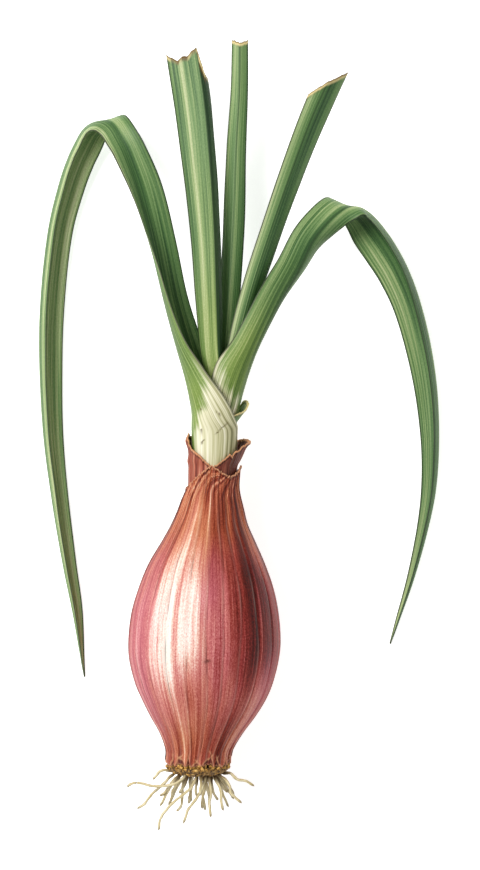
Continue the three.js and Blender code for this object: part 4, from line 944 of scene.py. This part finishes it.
def leaf_piece(name, stations, rows, half, tones, cream, yellow, seed, end=None, rough_cut=0.3, marks=()):
    """A whole leaf: parallel veins in relief, tapering rims, and its greens painted in bands along the
    veins, with painted shade and painted light across its folds. tones are the bands of its inside and its
    outside."""
    middle, normals, shares, length, place, width = leaf_surface(stations, rows, half, end)
    draws = np.random.default_rng(seed)
    veins = sum(np.sin(shares * n * np.pi + draws.uniform(0, FULL_TURN)) for n in (9, 13, 17)) / 3
    fade = np.clip(width / 6, 0, 1)
    waver = drift(length, (23, 37, 61), seed + 1)[:, None] * np.abs(shares) ** 3
    middle = middle + normals * (0.045 * veins * fade + 0.12 * waver * fade)[..., None]
    off_rim = (1 - np.abs(shares)) * width
    thickness = LEAF_WALL * (0.35 + 0.65 * step(0, 1.2, off_rim))
    from_cut = np.full_like(width, np.inf)
    if end is not None:
        slope = np.gradient(ends_at(end, shares) * length[-1]) / np.gradient(shares * width[-1])
        from_cut = (length[-1] - length)[:, None] / np.sqrt(1 + slope**2)
        teeth = sum(np.sin(shares * n + draws.uniform(0, FULL_TURN)) for n in (11, 17, 29)) / 1.7
        tangent = unit(np.gradient(middle, axis=0))
        middle = middle + tangent * (rough_cut * teeth * step(4, 0, from_cut))[..., None]
    rim_line = step(0.55, 0.25, off_rim)
    keel_line = 0.6 * bell(shares * width, 0, 0.22) * step(3, 7, place[:, half:half + 1])
    cut_line_and_rim_shade = np.maximum(step(0.26, 0.12, from_cut), step(0.75, 0.9, from_cut) * step(1.3, 1.0, from_cut))
    nicks = worn_nicks(marks, shares, length)
    across = shares * BLADE_HALF_WIDTH + 0 * width
    grain = np.stack([across, np.full_like(width, 7.0 * seed), length[:, None] + 0 * width], -1)
    paint = {
        "tone": [banded(bands, place, shares) for bands in tones],
        "cream": [banded(cream, place, shares)] * 2,
        "yellow": [banded(yellow, place, shares)] * 2,
        "edge": [rim_line, np.maximum(rim_line, keel_line)],
        "nick": [0 * nicks, nicks],
        "sheath_tone": [banded(SHEATH_TONE, place, shares)] * 2,
        "cut": [step(0.9, 0.6, from_cut)] * 2,
        "cut_line_and_rim_shade": [cut_line_and_rim_shade] * 2,
        "grain": [grain, grain + OUTSIDE_GRAIN],
    }
    return sheet_piece(name, middle, normals, thickness, paint)


PLAIN = [(0, [(-1, 0.0), (1, 0.0)])]
# Lightness of the pale sheath: station, then share across and lightness
SHEATH_TONE = [
    (0, [(-1, 0.32), (-0.7, 0.36), (-0.5, 0.46), (-0.3, 0.7), (-0.1, 0.58), (0, 0.5), (1, 0.5)]),
    (3, [(-1, 0.38), (-0.75, 0.46), (-0.5, 0.56), (-0.3, 0.72), (-0.1, 0.56), (0, 0.5), (1, 0.5)]),
    (6, [(-1, 0.75), (-0.7, 0.7), (0, 0.6), (1, 0.7)]),
]

# Greens across each leaf, with painted shade and painted light across the folds, 0 dark to 1 pale:
# station, then share across and green
LEFT_INSIDE = [
    (5, [(-1, 0.9), (-0.9, 0.6), (-0.5, 0.4), (0, 0.34), (0.3, 0.36), (0.7, 0.46), (1, 0.55)]),
    (9, [(-1, 1.0), (-0.93, 0.85), (-0.85, 0.48), (-0.3, 0.4), (0, 0.34), (0.25, 0.32), (0.5, 0.35),
         (0.75, 0.42), (1, 0.5)]),
    (12, [(-1, 1.0), (-0.9, 0.8), (-0.75, 0.54), (-0.3, 0.48), (0, 0.32), (0.1, 0.32), (0.3, 0.58),
          (0.5, 0.66), (0.7, 0.48), (1, 0.42)]),
    (14, [(-1, 0.95), (-0.85, 0.8), (-0.6, 0.52), (-0.3, 0.56), (-0.05, 0.34), (0.05, 0.36), (0.2, 0.78),
          (0.5, 0.8), (0.75, 0.52), (1, 0.46)]),
    (17, [(-1, 0.9), (-0.8, 0.74), (-0.5, 0.46), (-0.3, 0.52), (0, 0.5), (1, 0.5)]),
    (19, [(-1, 0.72), (-0.8, 0.84), (-0.6, 0.74), (-0.45, 0.5), (-0.2, 0.48), (0, 0.42), (1, 0.4)]),
    (24, [(-1, 0.66), (-0.75, 0.8), (-0.55, 0.68), (-0.4, 0.48), (-0.15, 0.48), (0, 0.42), (1, 0.4)]),
]
LEFT_OUTSIDE = [
    (4, [(-1, 0.9), (-0.8, 0.75), (-0.3, 0.65), (-0.12, 0.5), (0, 0.42), (0.4, 0.4), (1, 0.5)]),
    (6, [(-1, 1.0), (-0.9, 0.7), (-0.5, 0.52), (-0.15, 0.42), (0, 0.4), (0.5, 0.4), (1, 0.5)]),
    (9, [(-1, 1.0), (-0.93, 0.85), (-0.84, 0.42), (-0.4, 0.34), (0, 0.34), (0.5, 0.36), (1, 0.5)]),
    (14, [(-1, 0.85), (-0.9, 0.7), (-0.6, 0.42), (0, 0.38), (0.5, 0.45), (1, 0.6)]),
    (17, [(-1, 0.7), (0, 0.6), (0.2, 0.48), (0.4, 0.5), (0.6, 0.64), (0.8, 0.66), (1, 0.6)]),
    (20, [(-1, 0.6), (0, 0.7), (0.2, 0.66), (0.35, 0.62), (0.45, 0.74), (0.6, 0.8), (0.75, 0.84),
          (0.9, 0.72), (1, 0.62)]),
    (25, [(-1, 0.6), (0, 0.74), (0.2, 0.7), (0.4, 0.68), (0.55, 0.78), (0.75, 0.78), (1, 0.62)]),
]
LEFT_CREAM = [
    (0, [(-1, 1.0), (-0.2, 1.0), (-0.1, 0.5), (0, 0.2), (0.1, 0.4), (0.3, 1.0), (1, 1.0)]),
    (3.6, [(-1, 1.0), (-0.4, 1.0), (-0.28, 0.8), (-0.18, 0.45), (-0.08, 0.1), (0, 0.0), (0.2, 0.2),
           (0.5, 0.9), (1, 1.0)]),
    (4.6, [(-1, 1.0), (-0.6, 0.95), (-0.42, 0.7), (-0.28, 0.4), (-0.14, 0.05), (0.2, 0.1), (0.5, 0.7),
           (1, 1.0)]),
    (5.6, [(-1, 1.0), (-0.8, 0.85), (-0.6, 0.5), (-0.4, 0.2), (-0.2, 0.0), (0, 0.0), (0.4, 0.2), (1, 0.8)]),
    (7, [(-1, 0.95), (-0.9, 0.6), (-0.75, 0.2), (-0.4, 0.0), (1, 0.0)]),
    (9, [(-1, 0.5), (-0.93, 0.2), (-0.85, 0.0), (1, 0.0)]),
    (13, [(-1, 0.2), (-0.9, 0.0), (1, 0.0)]),
    (15, [(-1, 0.0), (1, 0.0)]),
]
LEFT_YELLOW = [
    (0, [(-1, 0.2), (0, 0.3), (1, 0.2)]),
    (4, [(-1, 0.5), (-0.3, 1.0), (0, 0.75), (1, 0.3)]),
    (6, [(-1, 0.8), (-0.3, 1.0), (0, 0.6), (1, 0.3)]),
    (8, [(-1, 0.6), (-0.3, 0.5), (0, 0.2), (1, 0.0)]),
    (10.5, [(-1, 0.0), (1, 0.0)]),
]
RIGHT_OUTSIDE = [
    (4, [(-1, 0.5), (0, 0.4), (0.5, 0.45), (1, 0.65)]),
    (7, [(-1, 0.5), (-0.4, 0.5), (0, 0.34), (0.2, 0.32), (0.45, 0.52), (0.7, 0.6), (0.88, 0.58),
         (1, 0.78)]),
    (10, [(-1, 0.5), (-0.5, 0.55), (-0.15, 0.4), (0.05, 0.18), (0.25, 0.3), (0.45, 0.46), (0.65, 0.5),
          (0.85, 0.54), (1, 0.7)]),
    (13, [(-1, 0.45), (-0.5, 0.5), (-0.2, 0.7), (-0.05, 0.4), (0.1, 0.5), (0.3, 0.75), (0.6, 0.66),
          (0.8, 0.55), (1, 0.65)]),
    (15, [(-1, 0.5), (-0.6, 0.55), (-0.2, 0.8), (0, 0.5), (0.3, 0.6), (1, 0.6)]),
    (17, [(-1, 0.5), (-0.5, 0.48), (-0.1, 0.6), (0, 0.5), (1, 0.5)]),
    (20, [(-1, 0.36), (-0.6, 0.38), (-0.4, 0.32), (-0.15, 0.6), (0, 0.44), (1, 0.4)]),
]
RIGHT_INSIDE = [
    (4, [(-1, 0.4), (1, 0.4)]),
    (15, [(-1, 0.5), (0, 0.3), (0.2, 0.2), (0.4, 0.2), (0.6, 0.4), (1, 0.5)]),
    (17, [(-1, 0.5), (0, 0.3), (0.2, 0.15), (0.35, 0.2), (0.5, 0.3), (0.6, 0.5), (0.75, 0.45), (0.9, 0.6),
          (1, 0.5)]),
    (20, [(-1, 0.5), (0, 0.38), (0.25, 0.3), (0.4, 0.36), (0.5, 0.62), (0.65, 0.68), (0.8, 0.72),
          (0.93, 0.6), (1, 0.45)]),
    (25, [(-1, 0.5), (0, 0.46), (0.3, 0.4), (0.5, 0.6), (0.7, 0.76), (1, 0.55)]),
    (28, [(-1, 0.5), (0, 0.5), (0.3, 0.6), (0.5, 0.85), (0.8, 0.9), (1, 0.7)]),
]
RIGHT_CREAM = [
    (0, [(-1, 1.0), (1, 1.0)]),
    (3.4, [(-1, 0.6), (0, 0.5), (0.4, 0.9), (1, 1.0)]),
    (4.4, [(-1, 0.2), (-0.3, 0.1), (0, 0.15), (0.3, 0.55), (0.6, 0.7), (1, 0.9)]),
    (5.4, [(-1, 0.0), (0, 0.0), (0.3, 0.2), (0.6, 0.42), (0.85, 0.5), (1, 0.9)]),
    (6.2, [(-1, 0.0), (0.2, 0.0), (0.6, 0.12), (0.85, 0.3), (1, 0.8)]),
    (7.2, [(-1, 0.0), (0.7, 0.0), (0.92, 0.08), (1, 0.6)]),
    (9, [(-1, 0.0), (0.9, 0.0), (1, 0.3)]),
    (11, [(-1, 0.0), (1, 0.0)]),
]
RIGHT_YELLOW = [
    (3, [(-1, 0.2), (1, 0.3)]),
    (5.5, [(-1, 0.5), (0, 0.6), (0.3, 1.0), (0.7, 0.9), (1, 0.6)]),
    (7, [(-1, 0.3), (0, 0.4), (0.3, 0.85), (0.6, 0.8), (1, 0.4)]),
    (9.5, [(-1, 0.0), (0.3, 0.2), (1, 0.0)]),
    (11, [(-1, 0.0), (1, 0.0)]),
]
WIDE_OUTSIDE = [
    (0, [(-1, 0.2), (-0.3, 0.15), (-0.05, 0.2), (0.05, 0.74), (0.4, 0.7), (1, 0.5)]),
    (5, [(-1, 0.2), (-0.9, 0.4), (-0.8, 0.1), (-0.3, 0.0), (-0.04, 0.02), (0.02, 0.66), (0.1, 0.72),
         (0.3, 0.58), (0.45, 0.8), (0.62, 0.85), (0.75, 0.54), (1, 0.46)]),
    (10, [(-1, 0.25), (-0.9, 0.3), (-0.3, 0.03), (-0.04, 0.03), (0.02, 0.55), (0.1, 0.6), (0.3, 0.42),
          (0.42, 0.5), (0.48, 0.85), (0.6, 0.85), (0.66, 0.5), (0.8, 0.42), (0.93, 0.6), (1, 0.5)]),
]
WIDE_YELLOW = [
    (0, [(-1, 0.1), (0, 1.0), (1, 0.9)]),
    (3, [(-1, 0.0), (-0.05, 0.1), (0, 1.0), (0.6, 1.0), (1, 0.8)]),
    (5.2, [(-1, 0.0), (-0.05, 0.1), (0, 0.85), (0.5, 0.7), (1, 0.4)]),
    (7, [(-1, 0.0), (0, 0.35), (0.5, 0.2), (1, 0.0)]),
    (8.5, [(-1, 0.0), (1, 0.0)]),
]
MID_OUTSIDE = [
    (0, [(-1, 0.35), (0, 0.4), (1, 0.4)]),
    (3.5, [(-1, 0.4), (-0.5, 0.45), (-0.02, 0.62), (0.05, 0.55), (0.12, 0.34), (0.6, 0.3), (1, 0.34)]),
    (6, [(-1, 0.3), (-0.6, 0.46), (-0.1, 0.56), (0, 0.6), (0.2, 0.56), (0.6, 0.62), (1, 0.66)]),
    (8, [(-1, 0.36), (-0.6, 0.56), (-0.1, 0.6), (0, 0.4), (0.15, 0.66), (0.5, 0.78), (0.75, 0.66),
         (1, 0.7)]),
]
SLANT_OUTSIDE = [
    (0, [(-1, 0.3), (0, 0.4), (1, 0.85)]),
    (4, [(-1, 0.42), (-0.5, 0.33), (-0.1, 0.28), (0, 0.42), (0.3, 0.52), (0.6, 0.76), (0.9, 0.84),
         (1, 0.7)]),
    (9, [(-1, 0.6), (-0.8, 0.55), (-0.5, 0.3), (-0.1, 0.22), (0, 0.35), (0.3, 0.5), (0.6, 0.62),
         (0.85, 0.82), (1, 0.7)]),
]
CUT_INSIDE = [(0, [(-1, 0.35), (0, 0.25), (1, 0.35)])]
CUT_CREAM = [
    (0, [(-1, 0.7), (1, 0.7)]),
    (2, [(-1, 0.25), (0, 0.1), (0.8, 0.3), (1, 0.6)]),
    (3.5, [(-1, 0.0), (0.9, 0.0), (1, 0.2)]),
    (4.5, [(-1, 0.0), (1, 0.0)]),
]


# Wear marks on the front of the outer sheath, each a line between two places: share across, millimetres along
FRONT_MARKS = [
    ((-0.42, 29.0), (-0.445, 28.0)), ((-0.735, 26.8), (-0.70, 27.3)), ((-0.735, 26.8), (-0.75, 25.9)),
    ((-0.325, 22.4), (-0.335, 19.9)), ((-0.32, 18.2), (-0.355, 18.9)), ((-0.31, 17.2), (-0.325, 18.2)),
    ((-0.53, 20.4), (-0.645, 23.1)), ((-0.645, 23.1), (-0.79, 24.9)),
]


def leaves():
    """The five leaves, each under the name of its solid."""
    return {
        "leaf_left": leaf_piece("leaf_left_blade", LEAF_LEFT, 430, 34, (LEFT_INSIDE, LEFT_OUTSIDE),
                                LEFT_CREAM, LEFT_YELLOW, 1, marks=FRONT_MARKS),
        "leaf_right": leaf_piece("leaf_right_blade", LEAF_RIGHT, 380, 34, (RIGHT_INSIDE, RIGHT_OUTSIDE),
                                 RIGHT_CREAM, RIGHT_YELLOW, 2),
        "leaf_cut_wide": leaf_piece("leaf_cut_wide_blade", LEAF_CUT_WIDE, 180, 26,
                                    (CUT_INSIDE, WIDE_OUTSIDE), PLAIN, WIDE_YELLOW, 3, CUT_WIDE_END,
                                    rough_cut=0.16),
        "leaf_cut_mid": leaf_piece("leaf_cut_mid_blade", LEAF_CUT_MID, 180, 20, (CUT_INSIDE, MID_OUTSIDE),
                                   PLAIN, PLAIN, 4, CUT_MID_END, rough_cut=0.12),
        "leaf_cut_slant": leaf_piece("leaf_cut_slant_blade", LEAF_CUT_SLANT, 180, 22,
                                     (CUT_INSIDE, SLANT_OUTSIDE), CUT_CREAM, PLAIN, 5, CUT_SLANT_END,
                                     rough_cut=0.12),
    }


# ---------------------------------------------------------------- basal plate and roots


def join_parts(name, parts):
    """One mesh from several closed parts, each as points, faces and its painted values."""
    points, faces, paint, start = [], [], {}, 0
    for part_points, part_faces, part_paint in parts:
        points.append(part_points)
        faces += [tuple(i + start for i in f) for f in facing_out(part_points, part_faces)]
        for title, values in part_paint.items():
            paint.setdefault(title, []).append(values)
        start += len(part_points)
    paint = {title: np.concatenate(values) for title, values in paint.items()}
    return make_mesh(name, np.concatenate(points), faces, paint)


PLATE_SIDES = 96
PLATE_ROWS = 60
PLATE_MIDDLE = 0.98         # the rings end just before the middle, where one point closes them


def plate_part():
    """The plate's disc with its domed underside, roughened like dry cork, with painted shade in its hollows.
    """
    profile = np.array(PLATE[2:], float)
    share = np.linspace(0, PLATE_MIDDLE, PLATE_ROWS)
    radius, y = (np.interp(share, np.linspace(0, 1, len(profile)), column) for column in profile.T)
    degrees = np.arange(PLATE_SIDES) * 360 / PLATE_SIDES
    bumps = 0.18 * ripple(degrees + 40 * share[:, None], (11, 23, 37), 41)
    bumps = bumps * ripple(degrees - 60 * share[:, None], (7, 17, 29), 42)
    radius = radius[:, None] * (1 + 0.01 * bumps)
    rings = around(PLATE_X, y[:, None] + bumps, PLATE_Z, radius, degrees[None])
    points, faces = tube(rings, [[PLATE_X, PLATE[k][1], PLATE_Z] for k in (1, -1)])
    ones = np.ones(len(points))
    hollow_shade = np.append(0.6 * step(0.0, 0.12, 0.1 - bumps), [0, 0])
    return points, faces, {"cork": ones, "hollow_shade": hollow_shade, "brown_and_shade": 0 * ones, "grain": points[:, [0, 2, 1]]}


STUB_SIDES = 10
STUB_ROWS = 7


def stub_part(at, outward, size, draws):
    """The broken stub of an old root: a knob with uneven sides and painted shade at its foot."""
    theta = np.linspace(0, np.pi, STUB_ROWS)[1:-1, None]
    phi = np.linspace(0, 2 * np.pi, STUB_SIDES, endpoint=False)[None]
    lump = 1 + 0.16 * np.sin(3 * phi + draws.uniform(0, 6)) * np.sin(theta)
    lump = lump + 0.12 * np.sin(2 * theta + 5 * phi)
    local = np.stack([np.sin(theta) * np.cos(phi) * lump, np.sin(theta) * np.sin(phi) * lump,
                      (0.9 + draws.uniform(0, 0.6)) * np.cos(theta) * lump], -1)
    third = unit(np.asarray(outward, float))
    first = unit(np.cross(third, [0.3, 1, 0.2]))
    axes = np.stack([first, np.cross(third, first), third])
    points, faces = tube((local @ axes) * size + at, [at + third * size * 1.25, at - third * size * 1.1])
    lift = (points - at) @ third / size
    ones = np.ones(len(points))
    return points, faces, {"cork": ones, "hollow_shade": step(0.35, -0.5, lift), "brown_and_shade": 0 * ones,
                           "grain": points[:, [0, 2, 1]] + draws.uniform(0, 50)}


ROOT_SIDES = 10
ROOT_ROW_LENGTH = 0.45
ROOT_WAVER = (0.6, 0.0, 1.0)        # the roots waver mostly up and down
ROOT_REFERENCE = (1, 0, 0.3)


def root_part(path, draws):
    """A root: a tapering tube along its path with a slightly uneven thickness and a blunt tip."""
    path = np.asarray(path, float)
    length = np.linalg.norm(np.diff(path, axis=0), axis=1).sum()
    rows = max(10, int(length / ROOT_ROW_LENGTH))
    t = np.linspace(0, 1, rows + 1)
    waver = 0.14 * drift(t * length, (3.1, 5.3, 8.9), int(draws.integers(1 << 30))) * step(0, 0.2, t)
    line = catmull(path, t) + unit(np.array(ROOT_WAVER)) * waver[:, None]
    tangent = unit(np.gradient(line, axis=0))
    first = unit(ROOT_REFERENCE - tangent * (tangent @ ROOT_REFERENCE)[:, None])
    second = np.cross(tangent, first)
    radius = ROOT_RADIUS + (ROOT_TIP_RADIUS - ROOT_RADIUS) * t**1.4
    radius = radius * (1 + 0.09 * drift(t * length, (1.7, 2.9, 4.3), int(draws.integers(1 << 30))))
    radius = radius * np.sqrt(np.clip((1.002 - t) * length / 0.5, 0.05, 1))
    phi = np.linspace(0, 2 * np.pi, ROOT_SIDES, endpoint=False)
    outward = first[:, None] * np.cos(phi)[:, None] + second[:, None] * np.sin(phi)[:, None]
    rings = line[:, None] + outward * radius[:, None, None]
    points, faces = tube(rings, [line[0], line[-1] + tangent[-1] * ROOT_TIP_RADIUS * 0.5])
    # Painted shadow near the plate, between the roots' bases, and browner tips; painted shade on each root's
    # lower sides.
    base_shade_and_tip_brown = 0.95 * step(5.6, 2.4, t * length) + 0.5 * step(1.6, 0.2, (1 - t) * length)
    underside_shade = 0.9 * step(0.5, 0.05, outward[..., 2])
    brown_and_shade = np.append(np.clip(base_shade_and_tip_brown[:, None] + underside_shade, 0, 1), [1.0, 0.6])
    grain = np.stack(np.broadcast_arrays(0.8 * np.cos(phi), 0.8 * np.sin(phi), (t * length)[:, None]), -1)
    grain = grain.reshape(-1, 3) + draws.uniform(0, 60)
    zeros = np.zeros(len(points))
    return points, faces, {"cork": zeros, "hollow_shade": zeros, "brown_and_shade": brown_and_shade,
                           "grain": np.vstack([grain, grain[:2]])}


def root_paths():
    """The same roots as the solids: those that show, and a fan of others on the underside."""
    state = 23

    def draw():
        nonlocal state
        state = (state * 16807) % 2147483647
        return state / 2147483647

    paths = [[(x, y, PLATE_Z + over) for x, y, over in path] for path in ROOTS]
    for k in range(HIDDEN_ROOTS):
        place = (k + 0.5 + 0.5 * (draw() - 0.5)) / HIDDEN_ROOTS
        degrees = FAN_START + FAN_SPREAD * place
        length = FAN_LENGTH + FAN_EXTRA * draw()
        bend = FAN_BEND * (draw() - 0.5)
        paths.append([tuple(around(PLATE_X, ROOT_CROWN_Y - length * (0.5 + 0.4 * s) * s, PLATE_Z,
                                   FAN_RADIUS + 0.8 * length * s, degrees + bend * s)) for s in (0, 0.5, 1)])
    hearts = [(PLATE_X + (x - PLATE_X) * 0.75, ROOT_HEART_Y, PLATE_Z + (z - PLATE_Z) * 0.75)
              for (x, _, z), *_ in paths]
    return [[heart, *path] for heart, path in zip(hearts, paths)]


STUBS = 190
GOLDEN_ANGLE = 137.508      # it spreads the stubs evenly over the plate
STUB_LEVELS = [(0, -43.9), (3.5, -43.7), (7.4, -42.9), (9.2, -41.4)]    # radius on the plate, and y
EDGE_STUBS = 46
EDGE_STUB_Y = -41.0
EDGE_STUB_RADIUS = 8.75


def root_plate_piece():
    """The plate with its stubs in a spiral and in one ring round the edge, and the roots, in one piece."""
    draws = np.random.default_rng(51)
    parts = [plate_part()]
    for k in range(STUBS):
        ring = 9.3 - 7.7 * (k / STUBS) ** 1.4
        y = np.interp(ring, *zip(*STUB_LEVELS)) + draws.uniform(-0.25, 0.25)
        degrees = k * GOLDEN_ANGLE
        at = around(PLATE_X, y, PLATE_Z, ring + draws.uniform(-0.3, 0.1), degrees)
        outward = around(0, -9 + 0.7 * ring, 0, 0.35 + ring * 0.8, degrees)
        parts.append(stub_part(at, outward, draws.uniform(0.32, 0.8), draws))
    for k in range(EDGE_STUBS):
        degrees = (k + draws.uniform(-0.3, 0.3)) * 360 / EDGE_STUBS
        y = EDGE_STUB_Y + draws.uniform(-0.25, 0.25)
        at = around(PLATE_X, y, PLATE_Z, EDGE_STUB_RADIUS + draws.uniform(-0.2, 0.15), degrees)
        parts.append(stub_part(at, around(0, -0.3, 0, 1, degrees), draws.uniform(0.5, 0.8), draws))
    parts += [root_part(path, draws) for path in root_paths()]
    return join_parts("plate_and_roots", parts)


# ---------------------------------------------------------------- floor, light and camera


FLOOR_HALF = 6.0                    # metres, as all lengths in this section
FLOOR_GLOW = 0.68
ROOM_LIGHT = 0.36
LIT_PLACE = (0.0, 0.05, 0.02)       # where both lamps point
CAMERA_PLACE = (0.0105, 0.0575, 1.1)
VIEW_LEVEL = 0.022                  # at this height the view is VIEW_HEIGHT from its bottom to its top
VIEW_HEIGHT = 0.261
SENSOR = 36                         # millimetres, the usual width of a film frame


def painted_floor():
    """White matt paint with a soft glow, so that it stays pale round the shadows."""
    floor = new_material("white_floor")
    surface = add(floor, "BsdfPrincipled", {
        "Base Color": "#F7F7F5", "Roughness": 0.9,
        "Emission Color": "#FFFFFF", "Emission Strength": FLOOR_GLOW})
    add(floor, "OutputMaterial", {"Surface": surface})
    return floor


def lay_floor():
    mesh = bpy.data.meshes.new("floor")
    corners = [(x * FLOOR_HALF, y * FLOOR_HALF, 0) for x, y in ((-1, -1), (1, -1), (1, 1), (-1, 1))]
    mesh.from_pydata(corners, [], [(0, 1, 2, 3)])
    floor = bpy.data.objects.new("floor", mesh)
    bpy.context.scene.collection.objects.link(floor)
    floor.data.materials.append(painted_floor())


def soft_light(name, direction, distance, size, power):
    """A square soft light that shines on the belly from a direction."""
    lamp = bpy.data.lights.new(name, "AREA")
    lamp.size = size
    lamp.energy = power
    light = bpy.data.objects.new(name, lamp)
    bpy.context.scene.collection.objects.link(light)
    way = Vector(direction).normalized()
    light.location = Vector(LIT_PLACE) + way * distance
    light.rotation_euler = way.to_track_quat("Z", "Y").to_euler()


def light_the_room():
    soft_light("key_light", (-0.5, 0.32, 0.8), distance=1.6, size=0.7, power=23)
    soft_light("fill_light", (0.75, -0.3, 0.6), distance=1.8, size=1.4, power=4.4)
    world = bpy.data.worlds.new("pale_room")
    world.use_nodes = True
    background = world.node_tree.nodes["Background"]
    background.inputs["Color"].default_value = (1, 1, 1, 1)
    background.inputs["Strength"].default_value = ROOM_LIGHT
    bpy.context.scene.world = world
    bpy.context.scene.view_settings.view_transform = "Standard"


def place_camera():
    """The camera looks straight down."""
    lens = bpy.data.cameras.new("camera")
    lens.sensor_width = SENSOR
    lens.lens = SENSOR * (CAMERA_PLACE[2] - VIEW_LEVEL) / VIEW_HEIGHT
    camera = bpy.data.objects.new("camera", lens)
    camera.location = CAMERA_PLACE
    bpy.context.scene.collection.objects.link(camera)
    bpy.context.scene.camera = camera


# ---------------------------------------------------------------- assembly


def dress(piece, node, material):
    piece.data.materials.append(material)
    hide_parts(node)
    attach(piece, "root")


lay_floor()
light_the_room()
place_camera()
leaf_green = fresh_leaf()
dress(bulb_piece(), "bulb", dry_outer_skin())
dress(inner_skin_piece(), "inner_skin", papery_inner_skin())
dress(sheath_flap_piece(), "sheath_flap", leaf_green)
for node, piece in leaves().items():
    dress(piece, node, leaf_green)
dress(root_plate_piece(), "root_plate", cork_and_root())
